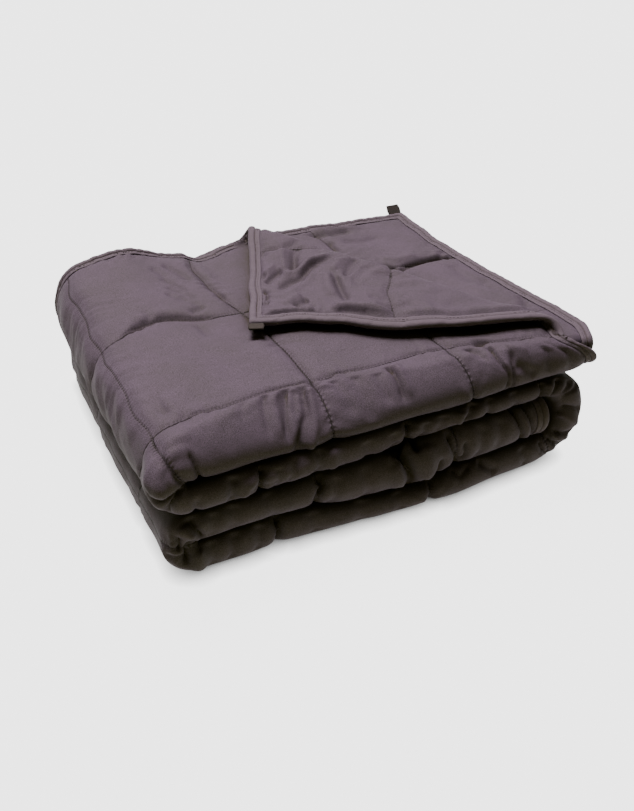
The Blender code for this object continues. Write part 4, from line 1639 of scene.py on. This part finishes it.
# ---- the whole ------------------------------------------------------------------------
# rows of a height, half a width, and then the q and r of each point of the line, all in millimetres
CREASES: tuple[Crease, ...] = (
    *Crease.table(Side.INNER, False, (
        # the turned-back flap: an S-shaped fold from its turn, and soft folds that fan out beside it
        (3.2, 6, 86, 38, 95, 51, 96, 63, 102, 70, 113, 78, 118, 85, 124, 96),
        (-4.6, 6, 57, 33, 68, 41, 76, 51, 78, 61, 90, 71, 101, 79, 109, 89, 114, 100),
        (1.6, 7, 41, 29, 46, 43, 62, 56, 76, 71, 93, 85), (2.4, 5.5, 146, 41, 115, 41, 97, 43),
        (-4, 5.5, 146, 56, 120, 56, 104, 56, 92, 51), (2.4, 7, 90, 98, 62, 99, 41, 103),
        (-3.6, 6, 98, 111, 70, 111, 51, 114, 32, 120), (2.4, 5, 119, 104, 98, 109, 76, 114),
        (-3.6, 6, 120, 120, 101, 124, 80, 132), (1.8, 5, 27, 40, 47, 60), (-3.2, 5, 20, 50, 37, 71),
        (1.6, 5, 96, 14, 112, 32), (-3.4, 5.5, 78, 19, 100, 41), (-2.6, 4, 146, 40, 147, 50, 158, 53),
        (-2.8, 4, 140, 13, 129, 20), (-1.6, 8, 60, 140, 84, 148, 104, 146),
        # the cloth stands up behind the binding of the flap's long edge
        (2.2, 4.5, 17, 14, 16, 52, 17, 92), (4.8, 5.5, 20, 96, 24, 118, 22, 136, 24, 154, 20, 172),
        (-2.6, 3.5, 12, 98, 15, 118, 14, 136, 15, 152, 12, 168), (2.2, 5, 17, 176, 18, 222, 16, 300),
        (-2.4, 4, 38, 10, 36, 22), (-2.6, 4, 96, 10, 92, 20),
        # puckers across the flap's own seam, and beside its long edge
        (-2.2, 4, 88, 158, 80, 170, 84, 184), (-2, 4, 70, 152, 62, 166), (-2, 3.5, 60, 176, 58, 192),
        (-2.2, 4, 46, 150, 40, 170), (-2.2, 4, 30, 156, 26, 176, 32, 192),
        (-1.6, 6, 52, 202, 34, 210, 22, 226), (-1.4, 8, 80, 214, 60, 236),
        # the second layer, right of the flap: a deep fold along its seam and soft wrinkles behind it
        (-5, 4.5, 104, 1374, 90, 1352, 71, 1359, 52, 1362, 27, 1362, 4, 1362),
        (2.2, 7, 98, 1388, 78, 1376, 50, 1378), (-3, 4.5, 154, 1484, 140, 1474, 120, 1468, 90, 1471),
        (2.2, 6, 146, 1492, 112, 1482, 66, 1480), (-2, 4.5, 130, 1500, 85, 1497),
        (-1.8, 6, 128, 1446, 96, 1440, 60, 1446), (-2, 9, 88, 1340, 66, 1310, 52, 1262),
        (-1.8, 8, 30, 1340, 34, 1290), (-2.6, 5, 16, 1300, 30, 1288, 22, 1262),
        (-2.2, 5, 14, 1250, 24, 1222),
    )),
    *Crease.table(Side.INNER, True, (
        # the turned-back flap: an S-shaped fold from its turn, and soft folds that fan out beside it
        (-3.6, 4, 68, 13, 55, 19, 42, 18),
        # the second layer, right of the flap: a deep fold along its seam and soft wrinkles behind it
        (-3.6, 3.2, 137, 1456, 142, 1440, 140, 1426),
    )),
    *Crease.table(Side.OUTER, False, (
        # the top, left of the flap: a groove that opens along the seam, with puckers beside it
        (-2.4, 7, 288, 18, 288, 80, 288, 150), (-1.8, 4, 342, 76, 330, 98, 322, 116),
        (-1.8, 4, 346, 96, 330, 118, 318, 134), (-1.6, 4, 338, 122, 324, 146),
        (-2.0, 5, 326, 40, 312, 64, 304, 88), (-1.4, 5, 348, 50, 332, 76), (-1.6, 5, 352, 112, 336, 138),
        (-2.4, 4, 318, 148, 340, 160),
        # the seam across the top is drawn in, the more so towards the flap
        (-2.6, 4, 414, 174, 392, 171, 371, 170, 344, 171, 316, 172),
        (1.4, 8, 404, 160, 372, 156, 338, 160), (-1.8, 4.5, 344, 186, 342, 214),
        (-1.8, 4, 386, 148, 382, 166),
        # a fold line beside the left-hand seam
        (-1, 3, 430, 124, 427, 150, 426, 171), (-1, 3, 426, 176, 426, 200, 427, 230, 426, 276),
        (-1.6, 3.4, 426, 276, 422, 296, 412, 302), (-2, 3.2, 419, 272, 423, 308),
        (1.6, 8, 435, 16, 435, 160), (1.6, 8, 435, 184, 435, 312),
        # the left-hand face: fine slanting wrinkles that run down to its front
        (-1.8, 3.6, 440, 60, 452, 120), (-2, 3.6, 439, 96, 458, 160), (-2.2, 3.6, 441, 124, 462, 208),
        (-2, 3.6, 440, 160, 460, 232), (-2.4, 3.6, 441, 196, 462, 268), (-2.2, 3.6, 440, 232, 456, 296),
        (-2.4, 3.6, 440, 262, 454, 318), (-2, 4, 456, 214, 470, 300), (-2.4, 4, 454, 290, 472, 348),
        (-2.2, 3.6, 440, 292, 450, 336), (-1.8, 5, 458, 110, 470, 200), (-1.8, 5, 446, 20, 460, 84),
        # the front crest: long soft puckers that hang from its seam
        (-2.8, 3.4, 333, 326, 340, 352, 345, 372), (-5.3, 3.4, 314, 330, 323, 358, 328, 371, 331, 380),
        (2.2, 4, 322, 334, 331, 358, 336, 374),
        (-5.6, 3.8, 299, 334, 307, 364, 314, 373, 320, 381, 326, 392),
        (3.1, 4, 293, 344, 300, 364, 308, 378, 314, 390), (-3.4, 3.4, 308, 340, 317, 366),
        (-1.6, 4, 356, 330, 362, 356), (-2.2, 5, 270, 340, 266, 374), (-2.2, 6, 248, 340, 252, 380),
        (2.5, 4, 208, 334, 206, 356, 207, 372), (-2.5, 5, 228, 344, 230, 372),
        (-1.7, 5, 380, 352, 384, 372),
        # the front left-hand corner: a deep slanting tuck, and tucks that meet where the fold ends
        (3, 5, 445, 346, 448, 360, 446, 370), (-3.4, 4, 476, 338, 484, 362, 484, 382),
        # the second section's front
        (-4.2, 4.5, 516, 364, 516, 378, 519, 390), (2.2, 4.5, 524, 366, 532, 378, 540, 390),
        (-2.8, 4.5, 556, 362, 560, 388), (-2.2, 4.5, 562, 362, 572, 378, 580, 392),
        (-3.4, 4.6, 593, 360, 599, 376, 602, 392), (2.5, 5, 610, 366, 614, 390),
        (-2.5, 6, 650, 358, 646, 386), (-2.8, 5, 703, 362, 708, 386), (-2.5, 5, 676, 364, 672, 386),
        (-2.2, 6, 722, 366, 728, 386), (-5.6, 4.6, 751, 366, 757, 378, 762, 392),
        (2.8, 5, 742, 368, 746, 386), (-3.4, 5, 777, 358, 780, 392), (-2.8, 5, 812, 362, 806, 390),
        (2.5, 3.6, 848, 366, 850, 388), (-3.4, 4, 871, 370, 873, 388),
        # the third section's front, with its deep tuck right of the middle
        (2.8, 4, 1361, 388, 1362, 374), (-2.5, 5, 1380, 366, 1384, 388), (-2.8, 6, 1400, 366, 1404, 390),
        (-2.5, 6, 1440, 362, 1434, 390), (-2.5, 5, 1494, 362, 1498, 388),
        (-2.5, 6, 1530, 360, 1526, 388), (2.6, 5, 1577, 358, 1580, 350),
        (-9, 8, 1556, 412, 1562, 400, 1567, 390), (2.2, 4, 1567, 364, 1560, 380, 1552, 394),
        (3.4, 6, 1560, 366, 1556, 384), (3.6, 8, 1592, 366, 1592, 388), (-2.8, 6, 1650, 362, 1656, 388),
        (-2.5, 6, 1672, 366, 1678, 388), (1.2, 3.6, 1700, 396, 1708, 378, 1714, 360),
        # the lowest section's front
        (2.8, 3.6, 1354, 386, 1346, 386), (-4.2, 4.5, 1350, 398, 1349, 389, 1354, 382),
        (3.1, 5, 1322, 366, 1318, 386), (-3.1, 5, 1308, 362, 1306, 386), (-3.1, 5, 1260, 362, 1264, 388),
        (-3.4, 5, 1284, 360, 1290, 386), (-2.5, 6, 1210, 362, 1206, 386),
        (-2.5, 7, 1160, 360, 1164, 388), (-2.5, 6, 1124, 362, 1120, 386),
        (-4.8, 3.8, 1089, 356, 1089, 394), (-4.2, 4.5, 1034, 362, 1014, 378),
        (-2.8, 5, 980, 364, 974, 386),
        # the right-hand end of the top section, with its forked crease
        (1.4, 12, 142, 322, 142, 352, 142, 392), (3.1, 4, 150, 370, 151, 384),
        (-2.8, 4.6, 122, 336, 118, 350, 120, 362), (-4, 5, 84, 318, 98, 318, 108, 336),
        (2.4, 3, 102, 362, 102, 388), (2.6, 9, 88, 348, 70, 356), (-3.9, 5, 92, 366, 84, 374, 74, 380),
        (-3.4, 5, 44, 350, 52, 364, 60, 380), (-2.8, 5, 26, 350, 34, 384),
        # the wrap round the right-hand end
        (3.1, 4, 900, 362, 908, 374, 914, 384), (1.6, 3.6, 936, 364, 931, 375, 924, 386),
    )),
    *Crease.table(Side.OUTER, True, (
        # the front crest: long soft puckers that hang from its seam
        (-5.4, 4, 215, 334, 212, 354, 213, 364, 217, 374),
        # the front left-hand corner: a deep slanting tuck, and tucks that meet where the fold ends
        (-5, 3, 420, 362, 417, 372, 414, 382, 408, 398),
        (-4.2, 2.8, 435, 330, 435, 350, 436, 368, 438, 390),
        (-9, 3.2, 451, 344, 455, 356, 456, 366, 452, 375, 447, 383, 445, 392),
        (-8, 4.2, 450, 388, 461, 372, 470, 354),
        # the second section's front
        (-8, 4, 544, 356, 542, 376, 545, 394), (-8, 4.2, 690, 356, 688, 376, 690, 394),
        (-5.4, 3.7, 841, 364, 841, 390), (-6.1, 4, 855, 366, 859, 390),
        # the third section's front, with its deep tuck right of the middle
        (-8, 4, 1366, 392, 1367, 378, 1372, 366),
        (-9.6, 4.4, 1483, 356, 1480, 374, 1485, 384, 1482, 396),
        (-15, 4.2, 1546, 412, 1558, 400, 1566, 386, 1572, 374, 1577, 362, 1579, 356),
        (-9, 4.4, 1580, 410, 1583, 396, 1582, 384), (-6.4, 4.4, 1603, 356, 1606, 370, 1606, 378),
        (-7, 3.7, 1616, 394, 1620, 380, 1627, 366, 1630, 356),
        (-6.4, 4, 1634, 382, 1635, 370, 1630, 362),
        (-6.5, 4.2, 1690, 402, 1697, 386, 1705, 366, 1708, 356),
        (-5, 3.6, 1702, 402, 1710, 384, 1716, 370, 1719, 362),
        # the lowest section's front
        (-12, 4.6, 1360, 372, 1350, 370, 1340, 371, 1334, 374, 1328, 384),
        (-7.4, 4, 1356, 384, 1349, 379, 1342, 381), (-5.4, 4, 1339, 394, 1338, 382, 1336, 374),
        (-8, 4.2, 1244, 356, 1242, 374, 1246, 394),
        (-3.5, 4.4, 1066, 358, 1058, 368, 1052, 366, 1042, 362),
        # the right-hand end of the top section, with its forked crease
        (-5.5, 3.6, 99, 336, 106, 362, 103, 374, 106, 390),
        (-5, 3.6, 88, 354, 96, 368, 99, 380, 98, 392),
        # the wrap round the right-hand end
        (-5, 3.4, 890, 364, 896, 374, 902, 386), (-5.5, 3.4, 929, 363, 924, 374, 917, 386),
        (-5.5, 3.4, 943, 363, 938, 374, 931, 386), (-5, 3.4, 958, 363, 953, 373, 947, 384),
        (-4, 4.4, 876, 366, 881, 378, 886, 394),
    )),
)
PULLS: tuple[Pull, ...] = (
    # the front crest's seam lies further forward, most of all left of the middle
    Pull((425, 317), (0, 6), (75, 60)),
    Pull((300, 322), (0, 15), (120, 42)),
    Pull((440, 172), (0, 4), (30, 40)),
    # the seam across the top sags back between its ends
    Pull((382, 172), (0, -14), (36, 50)),
    # the seam beside the flap leans to the left at its back
    Pull((288, 60), (15, 0), (60, 60)),
    Pull((288, 140), (8, 0), (50, 45)),
    # the seam under the right-hand crest leans at its front
    Pull((142, 345), (7, 0), (40, 28)),
    # the flap's own seam and those of the layer below it
    Pull((95, 172), (0, -20), (30, 45)),
    Pull((60, 1362), (0, 8), (130, 60)),
    Pull((142, 1430), (-15, 0), (50, 90)),
)


@dataclass
class FoldedBlanket:
    """The dressed blanket: its fold, its cloth and the pieces sewn on to it."""

    flat_size: tuple[float, float] = (1.524, 2.032)
    back_tab_lift: float = 8 * MM
    # how far the sewing shows on the flap's inner face and on that of the layer under it
    flap_sewing: float = 350 * MM
    under_sewing: float = 260 * MM
    # the stitched groove of the binding: how far in it lies, and its height
    groove_inward: float = 8.3 * MM
    groove_height: float = 2.25 * MM
    tab_spots: dict[str, tuple[float, tuple[float, float], float]] = field(init=False)
    fold: Fold = field(init=False)
    quilting: Quilting = field(init=False)

    def __post_init__(self) -> None:
        """Work out the fold from the frame."""
        section = Section()
        path = Path()
        corner = TurnedCorner(section, path)
        even = Fold(section, path, corner, Settling(), wander=Wander(height=0.0))
        self.tab_spots = {
            "flap": (math.pi / 2, (0.0, self.tab_middle), 0.0),
            "back": (math.pi, (self.tab_middle, even.length_r), -self.back_tab_lift),
        }
        self.fold = Fold(section, path, corner, Settling(), self._shift(even), PULLS)
        self.quilting = Quilting(self.fold, CREASES)

    @property
    def tab_middle(self) -> float:
        """Return how far a tab's middle lies from the cloth's corner."""
        return CornerTab.width / 2 - CornerTab.overhang

    def _shift(self, even: Fold) -> Vec3:
        """Find how far the frame lies from the fold's own origin, from the back tab's box.

        Args:
            even: The fold without its pulls and waviness.

        Returns:
            The shift.
        """
        turn, corner, lift = self.tab_spots["back"]
        corners = [(*CornerTab.flat_place(turn, corner, side * CornerTab.width / 2,
                                          CornerTab.start + out * CornerTab.length),
                    face * CornerTab.half_thickness + lift * out)
                   for side in (-1, 1) for out in (0, 1) for face in (-1, 1)]
        low = even.place(np.array(corners)).min(axis=0)
        return tuple(np.array(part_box("corner_tab_back")[0]) - low)

    def build(self) -> None:
        # brushed cotton: matt, faintly heathered, with a fine grid and the drawn-in sewing
        cotton = WovenCotton("brushed_woven_cotton", "#493E4B", "#2D282E", "#0E0C0D").build()
        # pressed tape: smoother, and a little redder and more even than the cloth
        tape = WovenCotton("woven_cotton_binding", "#4B424B", "#3F373F", "#181517", seam_lines=False,
                           crumple_size=14 * MM, crumple_depth=0.5 * MM).build()
        # tightly woven tape: flat and much darker
        tab_tape = WovenCotton("woven_tab_tape", "#2C2629", "#221E20", "#181517", seam_lines=False,
                               crumple_depth=0.2 * MM).build()
        # spun thread: a darker line with more bloom
        thread = WovenCotton("sewing_thread", "#3D363C", "#312B30", "#181517", seam_lines=False,
                             sheen=0.25, crumple_depth=0.0).build()
        fold, quilting = self.fold, self.quilting
        cloth = QuiltedCloth("blanket_cloth", "blanket", "quilted_cotton", fold, cotton,
                             quilting=quilting).build()
        binding = EdgeBinding("binding_roll", "binding", "binding_tape", fold, tape)
        bound = binding.build()
        tabs = [CornerTab(f"tab_{name}", f"corner_tab_{name}", "tab_tape", fold, tab_tape,
                          turn=turn, corner=corner, lift=lift).build()
                for name, (turn, corner, lift) in self.tab_spots.items()]
        sewing = Stitches("quilting_stitches", None, "quilted_cotton", fold, thread,
                          height=quilting.half_thickness, runs=self._quilting_runs()).build()
        edging = Stitches("binding_stitches", None, "binding_tape", fold, thread,
                          height=self._binding_height, runs=self._binding_runs()).build()

    def _quilting_runs(self) -> list[StitchRun]:
        """List the runs of quilting that show.

        Returns:
            The runs.
        """
        q_at, r_at = self.fold.path.starts, self.fold.section.starts
        edge = self.quilting.binding_width
        runs = [StitchRun(Side.OUTER, (q, edge if q < q_at["B"] else r_at["front"]), (q, r_at["L4"]))
                for q in self.quilting.seams_q]
        first, second, *_, last = self.quilting.seams_r
        across = self.quilting.seams_q[0]
        return runs + [
            StitchRun(Side.OUTER, (edge, first), (q_at["B"], first)),
            StitchRun(Side.OUTER, (edge, second), (q_at["B"], second)),
            StitchRun(Side.INNER, (edge, first), (self.flap_sewing, first)),
            StitchRun(Side.INNER, (edge, last), (self.under_sewing, last)),
            StitchRun(Side.INNER, (across, last), (across, self.fold.length_r - edge)),
        ]

    def _binding_runs(self) -> list[StitchRun]:
        """List the rows of stitches along the binding's strip, on both faces.

        Returns:
            The rows.
        """
        near = self.groove_inward
        q_far, r_far = self.fold.length_q - near, self.fold.length_r - near
        corners = [(near, near), (q_far, near), (q_far, r_far), (near, r_far)]
        return [StitchRun(side, start, end)
                for side in Side for start, end in zip(corners, corners[1:] + corners[:1])]

    def _binding_height(self, q: Floats, r: Floats, side: Side) -> Floats:
        """Return the height of the binding's stitched groove."""
        return np.full_like(q, self.groove_height)


def main() -> None:
    """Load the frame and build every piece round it."""
    logging.basicConfig(level=logging.INFO, format="%(name)s: %(message)s")
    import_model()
    FoldedBlanket().build()
    Studio().build()
    bpy.context.view_layer.update()


if __name__ == "__main__":
    main()
